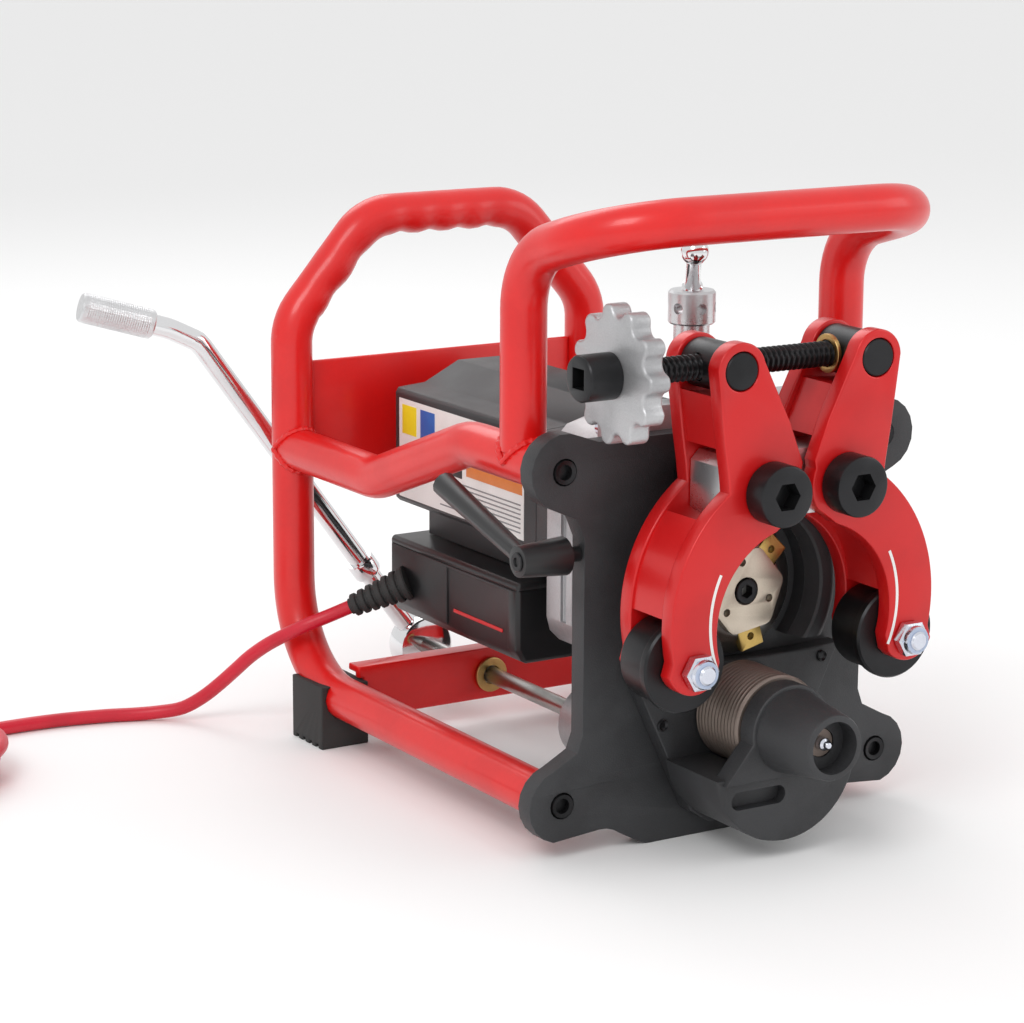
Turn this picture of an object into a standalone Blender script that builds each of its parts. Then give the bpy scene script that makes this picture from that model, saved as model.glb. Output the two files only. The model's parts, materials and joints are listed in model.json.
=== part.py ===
"""Transportable pipe bevelling machine, in metres.

Origin on the floor, on the flat foot of the cast front plate, at the middle of its
width and thickness. +X is to the right of a person who faces the plate, +Y runs from
the plate to the rear of the frame, and +Z is up. The sizes below count Y from the
plate's front face, and settle_origin() moves the finished machine onto its origin.
"""

import math

import bmesh
import bpy
from mathutils import Matrix, Vector

GAP = 0.0003  # clearance between pieces that touch

# Tubular frame
TUBE_R = 0.015
FRAME_X = 0.125  # side tubes and ear bolts, from the middle
LOW_Z = 0.036  # lower ear bolts and lower side tubes
HIGH_Z = 0.253  # upper ear bolts
RAIL_Z = 0.252
RAIL_REAR_Z = 0.206
HOOP_Y = 0.367
HOOP_TOP_Z = 0.370
HANDLE_Y = 0.050
GRIP_Y = -0.052
GRIP_Z = 0.412
CROSS_Y = 0.297

# Cast front plate
PLATE_T = 0.014
EAR_R = 0.0245
WAIST_X = 0.110
PLATE_TOP = 0.270
FOOT_X = 0.065

# Spindle and cutter
SPINDLE_Z = 0.166
CUTTER_R = 0.045
HUB_R = 0.027
GUARD_R = 0.070
GUARD_DEPTH = 0.026
CUTTER_SLOTS = (45, 165, 285)  # degrees, from +X towards +Z

# Clamp: two plates a side, joined by webs
ARM_FRONT = -0.085
ARM_PLATE = 0.012
ARM_BACK = -0.027
PIVOT = (0.029, 0.246)
PIN = (0.052, 0.323)
ROLLER = (0.082, 0.139)
PIVOT_R = 0.010
PIN_R = 0.012
BARREL_R = 0.0155
ROLLER_R = 0.030
SCREW_R = 0.0082
SCREW_Y = 0.5 * (ARM_FRONT + ARM_BACK)
CHANNEL_FRONT = ARM_FRONT + ARM_PLATE
CHANNEL_BACK = ARM_BACK - ARM_PLATE
WHEEL_X = -0.129
WHEEL_T = 0.0155
HUB_LENGTH = 0.023

# Feed: ratchet lever, shaft, gears and knurled roller
SHAFT_Z = 0.035
FEED_Z = 0.086
FEED_R = 0.0325
SHAFT_R = 0.0062
PINION_R = 0.0205
GEAR_R = FEED_Z - SHAFT_Z - PINION_R
LEVER_Y = 0.400

# Motor, gear case and switch box: one unit on a vertical slide
MOTOR_Z = 0.2065
SLIDE_Y = 0.018
SCREW_POST_Y = 0.045
BRIDGE_Z = 0.293
HOOD_X = 0.062
HOOD_FRONT = 0.115
HOOD_REAR = 0.330
BOX_LOW = (-0.075, 0.137, 0.089)
BOX_HIGH = (0.045, 0.313, 0.146)
SWITCH_YZ = (0.215, 0.118)
LOCK_YZ = (0.007, 0.198)

# Power cord, from the sleeve on the switch box to the coil that stores it
CORD_R = 0.005
RELIEF_WAY = Vector((-0.72, 0.55, -0.42)).normalized()
RELIEF_LENGTH = 0.046
RELIEF_START = Vector((BOX_LOW[0], 0.2865, 0.1160))
COIL_CENTRE = Vector((-0.425, 0.370, 0))
COIL_R = 0.055
COIL_WIDTH = 0.030
COIL_HEIGHT = 0.030
PLUG_PLACE = Vector((-0.490, 0.322, 0.0190))

MACHINE = "pipe_beveller"
QUARTER = math.pi / 2
TURNS = {
    "x": (0, QUARTER, 0),
    "-x": (0, -QUARTER, 0),
    "y": (-QUARTER, 0, 0),
    "-y": (QUARTER, 0, 0),
    "z": (0, 0, 0),
    "-z": (math.pi, 0, 0),
}


def clear_scene():
    for old in list(bpy.data.objects):
        bpy.data.objects.remove(old, do_unlink=True)


def collection(name, hidden=False):
    made = bpy.data.collections.new(name)
    bpy.context.scene.collection.children.link(made)
    made.hide_render = hidden
    return made


def finish(name, colour, roughness, metallic):
    made = bpy.data.materials.new(name)
    made.use_nodes = True
    shader = made.node_tree.nodes["Principled BSDF"]
    shader.inputs["Base Color"].default_value = (*colour, 1)
    shader.inputs["Roughness"].default_value = roughness
    shader.inputs["Metallic"].default_value = metallic
    return made


def add(name, data, look):
    made = bpy.data.objects.new(name, data)
    made.data.materials.append(look.copy())
    bpy.data.collections[MACHINE].objects.link(made)
    return made


def helper(obj):
    """Moves an object that only cuts or joins another one out of the model."""
    bpy.data.collections[MACHINE].objects.unlink(obj)
    bpy.data.collections["cutters"].objects.link(obj)
    obj.hide_render = True
    obj.display_type = "WIRE"
    return obj


def boolean(target, operation, others):
    for other in others:
        helper(other)
        step = target.modifiers.new(operation.lower(), "BOOLEAN")
        step.operation = operation
        step.object = other
        step.solver = "EXACT"
    return target


def cut(target, *others):
    return boolean(target, "DIFFERENCE", others)


def join(target, *others):
    return boolean(target, "UNION", others)


def rounded_edges(obj, width, segments=2):
    step = obj.modifiers.new("edges", "BEVEL")
    step.width = width
    step.segments = segments
    step.limit_method = "ANGLE"
    step.angle_limit = math.radians(40)
    return obj


def block(name, low, high, look):
    mesh = bpy.data.meshes.new(name)
    shape = bmesh.new()
    bmesh.ops.create_cube(shape, size=1)
    size = Vector(high) - Vector(low)
    middle = (Vector(high) + Vector(low)) / 2
    bmesh.ops.transform(
        shape, matrix=Matrix.Translation(middle) @ Matrix.Diagonal((*size, 1)), verts=shape.verts
    )
    shape.to_mesh(mesh)
    shape.free()
    return add(name, mesh, look)


def bar(name, start, end, radius, look, sides=16, end_radius=None):
    """A round bar, or a cone where the end radius differs."""
    mesh = bpy.data.meshes.new(name)
    shape = bmesh.new()
    start, end = Vector(start), Vector(end)
    along = end - start
    turn = along.to_track_quat("Z", "Y").to_matrix().to_4x4()
    bmesh.ops.create_cone(
        shape,
        cap_ends=True,
        segments=sides,
        radius1=radius,
        radius2=radius if end_radius is None else end_radius,
        depth=along.length,
        matrix=Matrix.Translation((start + end) / 2) @ turn,
    )
    shape.to_mesh(mesh)
    shape.free()
    made = add(name, mesh, look)
    made.data.shade_smooth()
    made.data.set_sharp_from_angle(angle=math.radians(35))
    return made


def ball(name, centre, radius, look):
    mesh = bpy.data.meshes.new(name)
    shape = bmesh.new()
    bmesh.ops.create_uvsphere(
        shape, u_segments=16, v_segments=10, radius=radius, matrix=Matrix.Translation(centre)
    )
    shape.to_mesh(mesh)
    shape.free()
    return add(name, mesh, look)


def turned(name, profile, place, axis, look, steps=24, ring=False):
    """A turned piece: (radius, height) points from the top down its outer side.

    A ring's profile then comes back up its bore.
    """
    mesh = bpy.data.meshes.new(name)
    shape = bmesh.new()
    if not ring:
        profile = [(0, profile[0][1]), *profile, (0, profile[-1][1])]
    points = [shape.verts.new((radius, 0, height)) for radius, height in profile]
    pairs = list(zip(points, points[1:]))
    if ring:
        pairs.append((points[-1], points[0]))
    for pair in pairs:
        shape.edges.new(pair)
    shape.to_mesh(mesh)
    shape.free()
    made = add(name, mesh, look)
    made.location = place
    made.rotation_euler = TURNS[axis]
    screw = made.modifiers.new("turn", "SCREW")
    screw.steps = screw.render_steps = steps
    screw.use_merge_vertices = True
    screw.merge_threshold = 0.00001
    screw.use_smooth_shade = False
    return made


def as_mesh(curve):
    """The closed mesh of a curve object, in its place."""
    bpy.context.view_layer.update()
    graph = bpy.context.evaluated_depsgraph_get()
    mesh = bpy.data.meshes.new_from_object(curve.evaluated_get(graph))
    shape = bmesh.new()
    shape.from_mesh(mesh)
    bmesh.ops.remove_doubles(shape, verts=shape.verts, dist=0.000005)
    bmesh.ops.recalc_face_normals(shape, faces=shape.faces)
    shape.to_mesh(mesh)
    shape.free()
    made = bpy.data.objects.new(curve.name + "_mesh", mesh)
    bpy.data.collections[MACHINE].objects.link(made)
    made.matrix_world = curve.matrix_world.copy()
    name = curve.name
    bpy.data.objects.remove(curve, do_unlink=True)
    made.name = name
    return made


def sheet(name, outline, thickness, look, place=(0, 0, 0), turn=(QUARTER, 0, 0), holes=()):
    """A flat outline made solid, half its thickness to each side of its place.

    With the usual turn, an outline's points are (x, z) and it is thick along Y.
    """
    curve = bpy.data.curves.new(name, "CURVE")
    curve.dimensions = "2D"
    curve.fill_mode = "BOTH"
    curve.extrude = thickness / 2
    for loop in (outline, *holes):
        spline = curve.splines.new("POLY")
        spline.points.add(len(loop) - 1)
        for point, (across, up) in zip(spline.points, loop):
            point.co = (across, up, 0, 1)
        spline.use_cyclic_u = True
    made = add(name, curve, look)
    made.location = place
    made.rotation_euler = turn
    return as_mesh(made)


def upright(name, outline, y_front, y_back, look, holes=()):
    """A sheet that stands across Y, between two values of Y."""
    return sheet(name, outline, y_back - y_front, look, (0, (y_front + y_back) / 2, 0), holes=holes)


def arc(centre, radius, start, end, steps):
    """Points on an arc in a plane; angles in degrees."""
    angles = [math.radians(start + (end - start) * i / steps) for i in range(steps + 1)]
    return [(centre[0] + radius * math.cos(a), centre[1] + radius * math.sin(a)) for a in angles]


def circle(centre, radius, steps=20):
    return arc(centre, radius, 0, 360, steps)[:-1]


def bent(corners, steps=4, closed=False):
    """A path of any dimension whose corners (point, radius) are rounded."""
    path = []
    count = len(corners)
    for index, (corner, radius) in enumerate(corners):
        corner = Vector(corner)
        if radius == 0 or (not closed and index in (0, count - 1)):
            path.append(corner)
            continue
        back = (Vector(corners[index - 1][0]) - corner).normalized()
        onward = (Vector(corners[(index + 1) % count][0]) - corner).normalized()
        half = back.angle(onward) / 2
        reach = radius / math.tan(half)
        centre = corner + (back + onward).normalized() * (radius / math.sin(half))
        first = corner + back * reach - centre
        last = corner + onward * reach - centre
        sweep = math.pi - 2 * half
        for i in range(steps + 1):
            t = i / steps
            swung = first * math.sin((1 - t) * sweep) + last * math.sin(t * sweep)
            path.append(centre + swung / math.sin(sweep))
    return path


def mirrored(outline, side):
    return [(side * across, up) for across, up in outline]


def tube(name, route, radius, look, resolution=4):
    """A round tube or bar along a path of points."""
    curve = bpy.data.curves.new(name, "CURVE")
    curve.dimensions = "3D"
    curve.bevel_depth = radius
    curve.bevel_resolution = resolution
    curve.use_fill_caps = True
    spline = curve.splines.new("POLY")
    spline.points.add(len(route) - 1)
    for point, place in zip(spline.points, route):
        point.co = (*place, 1)
    spline.use_smooth = True
    return add(name, curve, look)


def hexagon(name, start, end, across_flats, look):
    return bar(name, start, end, across_flats / math.sqrt(3), look, sides=6)


def joint_axis(name, place):
    """An empty on a joint's axis, for the pieces that move with it."""
    made = bpy.data.objects.new(name, None)
    made.empty_display_size = 0.02
    made.location = place
    bpy.data.collections[MACHINE].objects.link(made)
    return made


def hang(axis, *pieces):
    bpy.context.view_layer.update()
    for piece in pieces:
        placed = piece.matrix_world.copy()
        piece.parent = axis
        piece.matrix_parent_inverse = axis.matrix_world.inverted()
        piece.matrix_world = placed


clear_scene()
collection(MACHINE)
collection("cutters", hidden=True)

RED = finish("red_paint", (0.72, 0.02, 0.015), 0.35, 0.0)
DARK_CAST = finish("dark_cast", (0.055, 0.056, 0.06), 0.55, 0.3)
BLACK_STEEL = finish("black_steel", (0.03, 0.03, 0.032), 0.42, 0.8)
STEEL = finish("steel", (0.5, 0.49, 0.48), 0.35, 1.0)
ALUMINIUM = finish("aluminium", (0.66, 0.66, 0.67), 0.35, 1.0)
CAST_ALUMINIUM = finish("cast_aluminium", (0.6, 0.6, 0.6), 0.5, 0.9)
CHROME = finish("chrome", (0.85, 0.85, 0.86), 0.08, 1.0)
ZINC = finish("zinc", (0.75, 0.76, 0.8), 0.25, 1.0)
BRASS = finish("brass", (0.75, 0.55, 0.25), 0.3, 1.0)
CARBIDE = finish("gold_carbide", (0.72, 0.5, 0.15), 0.3, 1.0)
NICKEL = finish("nickel", (0.6, 0.52, 0.42), 0.4, 1.0)
BLACK_PLASTIC = finish("black_plastic", (0.02, 0.02, 0.021), 0.4, 0.0)
GREY_PLASTIC = finish("grey_plastic", (0.05, 0.05, 0.052), 0.5, 0.0)
RUBBER = finish("rubber", (0.03, 0.03, 0.03), 0.8, 0.0)
CORD_RED = finish("cord_red", (0.6, 0.01, 0.02), 0.45, 0.0)


# ---------------------------------------------------------------- frame


def hoop(name, radius):
    """The bent tube of both lower sides and the rear hoop."""
    start = PLATE_T + GAP
    knee = 0.297
    half_top = 0.062
    corners = [
        ((-FRAME_X, start, LOW_Z), 0),
        ((-FRAME_X, HOOP_Y, LOW_Z), 0.075),
        ((-FRAME_X, HOOP_Y, knee), 0.040),
        ((-half_top, HOOP_Y, HOOP_TOP_Z), 0.040),
        ((half_top, HOOP_Y, HOOP_TOP_Z), 0.040),
        ((FRAME_X, HOOP_Y, knee), 0.040),
        ((FRAME_X, HOOP_Y, LOW_Z), 0.075),
        ((FRAME_X, start, LOW_Z), 0),
    ]
    return tube(name, bent(corners), radius, RED)


def rail_route(side, rear_y):
    return bent(
        [
            ((side * FRAME_X, PLATE_T + GAP, RAIL_Z), 0),
            ((side * FRAME_X, 0.115, RAIL_Z), 0.05),
            ((side * FRAME_X, 0.240, RAIL_REAR_Z), 0.05),
            ((side * FRAME_X, rear_y, RAIL_REAR_Z), 0),
        ],
        steps=4,
    )


def upper_rail(name, side):
    """An upper side tube, cut to sit against the rear hoop."""
    rail = as_mesh(tube(name, rail_route(side, HOOP_Y), TUBE_R, RED))
    post = bar(
        name + "_saddle",
        (side * FRAME_X, HOOP_Y, RAIL_REAR_Z - 0.05),
        (side * FRAME_X, HOOP_Y, RAIL_REAR_Z + 0.05),
        TUBE_R + GAP,
        RED,
    )
    return cut(rail, post)


def front_handle():
    """The carrying handle: two posts on the rails, and a bar ahead of the plate."""
    knee = 0.383
    corners = [
        ((-FRAME_X, HANDLE_Y, RAIL_Z), 0),
        ((-FRAME_X, HANDLE_Y, knee), 0.045),
        ((-FRAME_X, GRIP_Y, GRIP_Z), 0.055),
        ((FRAME_X, GRIP_Y, GRIP_Z), 0.055),
        ((FRAME_X, HANDLE_Y, knee), 0.045),
        ((FRAME_X, HANDLE_Y, RAIL_Z), 0),
    ]
    handle = as_mesh(tube("front_handle", bent(corners), TUBE_R, RED))
    saddles = [
        bar(
            "handle_saddle",
            (side * FRAME_X, HANDLE_Y - 0.03, RAIL_Z),
            (side * FRAME_X, HANDLE_Y + 0.03, RAIL_Z),
            TUBE_R + GAP,
            RED,
        )
        for side in (-1, 1)
    ]
    return cut(handle, *saddles)


def cross_plates():
    """The two folded plates between the side tubes."""
    inner = FRAME_X - TUBE_R - GAP
    rear_y = HOOP_Y - 0.002
    rear = block("rear_cross_plate", (-inner, rear_y, 0.185), (inner, rear_y + 0.004, 0.268), RED)
    half = 0.019
    low = LOW_Z - half
    lower = block(
        "lower_cross_plate", (-inner, CROSS_Y, low), (inner, CROSS_Y + 0.006, LOW_Z + half), RED
    )
    top = block(
        "lower_flange",
        (-inner, CROSS_Y + 0.002, LOW_Z + half - 0.005),
        (inner, CROSS_Y + 0.016, LOW_Z + half),
        RED,
    )
    join(lower, top)
    ends = [
        block("foot_relief", (side * FRAME_X - 0.0195, 0.28, 0), (side * FRAME_X + 0.0195, 0.33, 0.0465), RED)
        for side in (-1, 1)
    ]
    cut(lower, bar("bush_hole", (0, 0.28, SHAFT_Z), (0, 0.32, SHAFT_Z), 0.0105, RED), *ends)
    bush = turned(
        "shaft_bush",
        [(0.013, 0.003), (0.013, 0), (0.0102, 0), (0.0102, -0.009), (0.0069, -0.009), (0.0069, 0.003)],
        (0, CROSS_Y - GAP, SHAFT_Z),
        "-y",
        BRASS,
        ring=True,
    )
    return rear, lower, bush


def foot(name, side):
    """A rubber saddle under the bend of a lower tube, ribbed below."""
    front, back, half = 0.290, 0.335, 0.019
    x = side * FRAME_X
    pad = block(name, (x - half, front, 0), (x + half, back, 0.046), RUBBER)
    grooves = [
        block("foot_groove", (x - 0.03, front + 0.006 + 0.010 * i, -0.01),
              (x + 0.03, front + 0.010 + 0.010 * i, 0.003), RUBBER)
        for i in range(4)
    ]
    return cut(pad, as_mesh(hoop(name + "_bore", TUBE_R + GAP)), *grooves)


# ---------------------------------------------------------------- front plate


def plate_outline():
    """Half of the plate's edge, from the middle of its foot up its right side."""
    lower, upper = (FRAME_X, LOW_Z), (FRAME_X, HIGH_Z)
    return (
        [(FOOT_X - 0.006, 0), (FOOT_X, 0.002)]
        + arc((FOOT_X + 0.030, -0.008), 0.0235, 130, 85, 3)
        + arc(lower, EAR_R, -75, 75, 8)
        + [(WAIST_X + 0.004, 0.069), (WAIST_X, 0.080), (WAIST_X, 0.208), (WAIST_X + 0.006, 0.222)]
        + arc(upper, EAR_R, -70, 100, 9)
        + [(0.100, PLATE_TOP), (0.012, PLATE_TOP)]
    )


def front_plate():
    """The dark cast plate with an ear at each corner."""
    right = plate_outline()
    outline = right + [(-across, up) for across, up in reversed(right)]
    plate = upright("front_plate", outline, 0, PLATE_T, DARK_CAST)
    spindle_slot = bent(
        [((-0.026, 0.132), 0.02), ((0.026, 0.132), 0.02), ((0.026, 0.2), 0.02), ((-0.026, 0.2), 0.02)],
        closed=True,
    )
    cutters = [
        upright("slot_cut", [tuple(p) for p in spindle_slot], -0.01, 0.03, DARK_CAST),
        bar("gear_cut", (0, -0.01, FEED_Z), (0, 0.0035, FEED_Z), GEAR_R + 0.0012, DARK_CAST),
        bar("pinion_cut", (0, -0.01, SHAFT_Z), (0, 0.0035, SHAFT_Z), PINION_R + 0.0012, DARK_CAST),
        bar("shaft_cut", (0, -0.01, SHAFT_Z), (0, 0.03, SHAFT_Z), SHAFT_R + 0.0012, DARK_CAST),
        bar("feed_cut", (0, -0.01, FEED_Z), (0, 0.03, FEED_Z), 0.0105, DARK_CAST),
    ]
    for side in (-1, 1):
        at = (side * PIVOT[0], PIVOT[1])
        cutters.append(bar("pivot_cut", (at[0], -0.01, at[1]), (at[0], 0.03, at[1]), 0.0083, DARK_CAST))
        for z in (LOW_Z, HIGH_Z):
            spot = (side * FRAME_X, z)
            cutters.append(bar("ear_cut", (spot[0], -0.01, z), (spot[0], 0.0075, z), 0.0088, DARK_CAST))
            cutters.append(bar("ear_hole", (spot[0], 0.005, z), (spot[0], 0.03, z), 0.0053, DARK_CAST))
    return cut(plate, *cutters)


def plate_bolt(name, x, z):
    """A socket head screw sunk in an ear, that ends short of the tube."""
    bolt = turned(
        name,
        [(0.0078, 0), (0.008, -0.001), (0.008, -0.0068), (0.005, -0.0068), (0.005, -0.0135)],
        (x, 0.0006, z),
        "-y",
        BLACK_STEEL,
        steps=20,
    )
    socket = hexagon(name + "_socket", (x, -0.005, z), (x, 0.0048, z), 0.008, BLACK_STEEL)
    return cut(bolt, socket)


def cutter_guard():
    """The cast shroud around the cutter, open below where the wall of the pipe passes."""
    ring = turned(
        "cutter_guard",
        [(GUARD_R - 0.005, GUARD_DEPTH), (GUARD_R, GUARD_DEPTH - 0.005), (GUARD_R, GAP), (0.054, GAP),
         (0.054, 0.012), (0.058, GUARD_DEPTH)],
        (0, 0, SPINDLE_Z),
        "-y",
        DARK_CAST,
        steps=32,
        ring=True,
    )
    return cut(ring, block("guard_opening", (-0.1, -0.05, 0.05), (0.1, 0.01, 0.130), DARK_CAST))


def slide_guide():
    """The guide behind the plate for the gear case, with a bridge for the depth screw."""
    y0, y1 = PLATE_T + GAP, SLIDE_Y - GAP
    guide = block("slide_guide", (-0.090, y0, 0.100), (0.090, y1, 0.262), BLACK_STEEL)
    post = block("guide_post", (-0.022, y0, 0.250), (0.022, y1, BRIDGE_Z + 0.007), BLACK_STEEL)
    bridge = block(
        "guide_bridge",
        (-0.022, y0 + 0.001, BRIDGE_Z),
        (0.022, SCREW_POST_Y + 0.018, BRIDGE_Z + 0.007),
        BLACK_STEEL,
    )
    window = block("guide_window", (-0.050, y0 - 0.01, 0.124), (0.050, y1 + 0.01, 0.224), BLACK_STEEL)
    hole = bar("bridge_hole", (0, SCREW_POST_Y, BRIDGE_Z - 0.01), (0, SCREW_POST_Y, BRIDGE_Z + 0.02), 0.0068,
               BLACK_STEEL)
    return cut(join(guide, post, bridge), window, hole)


# ---------------------------------------------------------------- clamp


def arm_outline():
    """The right arm's edge: top eye, pivot side, inner arc, roller end, outer arc."""
    spindle = (0, SPINDLE_Z)
    return (
        arc(PIN, 0.0178, 5, 165, 7)
        + [(0.0148, 0.288), (0.0045, 0.262)]
        + arc(PIVOT, 0.0258, 155, 215, 4)
        + arc((0.004, 0.160), 0.063, 72, -16, 8)
        + arc((ROLLER[0] + 0.001, ROLLER[1] + 0.004), 0.0195, 215, 340, 6)
        + arc(spindle, 0.101, -12, 54, 7)
        + [(0.0605, 0.258), (0.0640, 0.280)]
    )


def clamp_arm(name, side):
    """An arm: a front and a back plate, joined by a curved web and an upper web."""
    front_y = (ARM_FRONT, CHANNEL_FRONT)
    back_y = (CHANNEL_BACK, ARM_BACK)
    outline = mirrored(arm_outline(), side)
    pivot = mirrored([PIVOT], side)[0]
    pin = mirrored([PIN], side)[0]
    roller = mirrored([ROLLER], side)[0]
    holes = [circle(pivot, PIVOT_R + GAP), circle(pin, PIN_R + GAP), circle(roller, 0.0066, 12)]
    arm = upright(name, outline, *front_y, RED, holes=holes)
    back = upright(name + "_back", outline, *back_y, RED, holes=holes)
    overlap = 0.002
    web_y = (CHANNEL_FRONT - overlap, CHANNEL_BACK + overlap)
    low_web = arc((0, SPINDLE_Z), 0.099, 3, 41, 5) + arc((0, SPINDLE_Z), 0.068, 41, 3, 5)
    high_web = [(0.0130, 0.275), (0.060, 0.2735), (0.0660, 0.307), (0.052, 0.3045), (0.028, 0.306)]
    webs = [
        upright(name + "_low_web", mirrored(low_web, side), *web_y, RED),
        upright(name + "_high_web", mirrored(high_web, side), *web_y, RED),
    ]
    return join(arm, back, *webs)


def pivot_bolt(name, side):
    """A shoulder bolt with a socket head."""
    x, z = side * PIVOT[0], PIVOT[1]
    head = 0.018
    bolt = turned(
        name,
        [
            (0.0180, head),
            (0.0195, head - 0.0015),
            (0.0195, GAP),
            (PIVOT_R, GAP),
            (PIVOT_R, ARM_FRONT + GAP),
            (0.008, ARM_FRONT + GAP),
            (0.008, ARM_FRONT - 0.012),
        ],
        (x, ARM_FRONT, z),
        "-y",
        BLACK_STEEL,
    )
    top = ARM_FRONT - head
    return cut(bolt, hexagon(name + "_socket", (x, top - 0.01, z), (x, top + 0.011, z), 0.0165, BLACK_STEEL))


def pivot_block():
    """The aluminium block in the arms' channel, on both pivot bolts."""
    half, low, high = 0.058, 0.226, 0.268
    outline = [
        (-half, low + 0.006), (-half + 0.010, low), (half - 0.010, low), (half, low + 0.006),
        (half, high - 0.006), (half - 0.006, high), (-half + 0.006, high), (-half, high - 0.006),
    ]
    holes = [circle((side * PIVOT[0], PIVOT[1]), PIVOT_R + GAP) for side in (-1, 1)]
    return upright("pivot_block", outline, CHANNEL_FRONT + 0.001, CHANNEL_BACK - 0.001, ALUMINIUM, holes)


def pivot_spacer(name, side):
    """The sleeve on a pivot bolt, between the arms and the plate."""
    return turned(
        name,
        [(0.0145, -ARM_BACK - GAP), (0.0145, GAP), (PIVOT_R + GAP, GAP), (PIVOT_R + GAP, -ARM_BACK - GAP)],
        (side * PIVOT[0], 0, PIVOT[1]),
        "-y",
        BLACK_STEEL,
        ring=True,
    )


def trunnion(name, side):
    """A barrel across an arm's eye, with a bore for the clamp screw."""
    x, z = side * PIN[0], PIN[1]
    half = (CHANNEL_BACK - CHANNEL_FRONT) / 2 - GAP
    end = (ARM_BACK - ARM_FRONT) / 2
    barrel = turned(
        name,
        [(PIN_R, end), (PIN_R, half), (BARREL_R, half), (BARREL_R, -half), (PIN_R, -half), (PIN_R, -end)],
        (x, SCREW_Y, z),
        "-y",
        BLACK_STEEL,
        steps=24,
    )
    bore = bar(name + "_bore", (x - 0.03, SCREW_Y, z), (x + 0.03, SCREW_Y, z), SCREW_R + 0.0006, BLACK_STEEL)
    return cut(barrel, bore)


def clamp_screw():
    """The screw, with the square drive hub at its end."""
    z = PIN[1]
    hub = WHEEL_X
    screw = turned(
        "clamp_screw",
        [
            (0.0130, HUB_LENGTH - hub),
            (0.0145, HUB_LENGTH - 0.0015 - hub),
            (0.0145, -hub),
            (0.0068, -hub),
            (0.0068, -hub - WHEEL_T - 2 * GAP),
            (SCREW_R, -hub - WHEEL_T - 2 * GAP),
            (SCREW_R, -0.066),
        ],
        (0, SCREW_Y, z),
        "-x",
        BLACK_STEEL,
        steps=24,
    )
    end = WHEEL_X - HUB_LENGTH
    socket = bar("drive_socket", (end - 0.01, SCREW_Y, z), (end + 0.018, SCREW_Y, z), 0.0091, BLACK_STEEL,
                 sides=4)
    return cut(screw, socket)


def handwheel():
    """The cast wheel on the clamp screw, with eleven round lobes."""
    lobes = 11
    outer, root = 0.0435, 0.0355
    outline = []
    for step in range(lobes * 5):
        turn = 2 * math.pi * step / (lobes * 5)
        wave = math.cos(lobes * turn)
        radius = root + (outer - root) * (0.5 + 0.5 * math.copysign(abs(wave) ** 0.6, wave))
        outline.append((radius * math.cos(turn), radius * math.sin(turn)))
    middle = WHEEL_X + GAP + WHEEL_T / 2
    return sheet(
        "clamp_handwheel",
        outline,
        WHEEL_T,
        CAST_ALUMINIUM,
        (middle, SCREW_Y, PIN[1]),
        (0, QUARTER, 0),
        holes=[circle((0, 0), 0.0072, 16)],
    )


def end_collar():
    """The brass thrust ring of the screw, against the right trunnion."""
    face = PIN[0] - BARREL_R - 0.0006
    return turned(
        "thrust_collar",
        [(0.0125, 0.003), (0.0125, 0), (SCREW_R + GAP, 0), (SCREW_R + GAP, 0.003)],
        (face - 0.003, SCREW_Y, PIN[1]),
        "x",
        BRASS,
        steps=24,
        ring=True,
    )


def clamp_roller(name, side):
    x, z = side * ROLLER[0], ROLLER[1]
    y0, y1 = CHANNEL_FRONT + 0.0006, CHANNEL_BACK - 0.0006
    bore = 0.0064
    return turned(
        name,
        [
            (ROLLER_R - 0.0015, -y0),
            (ROLLER_R, -y0 - 0.0015),
            (ROLLER_R, -y0 - 0.006),
            (0.0275, -y0 - 0.007),
            (0.0275, -y1 + 0.0015),
            (0.0260, -y1),
            (bore + GAP, -y1),
            (bore + GAP, -y0),
        ],
        (x, 0, z),
        "-y",
        BLACK_STEEL,
        ring=True,
    )


def roller_bolt(name, side):
    """The axle bolt of a clamp roller with its lock nut, flush with the back of its arm."""
    x, z = side * ROLLER[0], ROLLER[1]
    y = ARM_FRONT - GAP
    bolt = turned(
        name,
        [
            (0.0050, 0.0130 - ARM_FRONT),
            (0.0060, 0.0120 - ARM_FRONT),
            (0.0062, 0.0060 - ARM_FRONT),
            (0.0062, -ARM_BACK),
        ],
        (x, 0, z),
        "-y",
        ZINC,
        steps=16,
    )
    nut = hexagon(name + "_nut", (x, y - 0.0075, z), (x, y, z), 0.0210, ZINC)
    cap = bar(name + "_cap", (x, y - 0.0105, z), (x, y - 0.005, z), 0.0085, ZINC, end_radius=0.0094)
    return join(bolt, nut, cap)


# ---------------------------------------------------------------- cutter


def spindle():
    """The spindle, from its gear to the nose that carries the cutter."""
    return turned(
        "spindle",
        [
            (0.0085, 0.0045),
            (0.0085, -0.002),
            (0.014, -0.002),
            (0.014, -0.060),
            (0.010, -0.060),
            (0.010, -0.110),
        ],
        (0, 0, SPINDLE_Z),
        "-y",
        STEEL,
        steps=24,
    )


def cutter_head():
    """The milling head: a cone with three pockets for inserts."""
    head = turned(
        "cutter_head",
        [
            (HUB_R, 0.0160),
            (0.031, 0.0150),
            (CUTTER_R, 0.0060),
            (CUTTER_R, 0.0006),
            (0.020, 0.0006),
            (0.0092, 0.0006),
            (0.0092, 0.0160),
        ],
        (0, 0, SPINDLE_Z),
        "-y",
        STEEL,
        steps=30,
        ring=True,
    )
    pockets = []
    for angle in CUTTER_SLOTS:
        pocket = block("insert_pocket", (0.0215, -0.008, -0.0095), (0.06, 0.008, 0.0095), STEEL)
        pocket.location = (0, -0.0180, SPINDLE_Z)
        pocket.rotation_euler = (0, -math.radians(angle), 0)
        pockets.append(pocket)
    return cut(head, *pockets)


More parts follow.
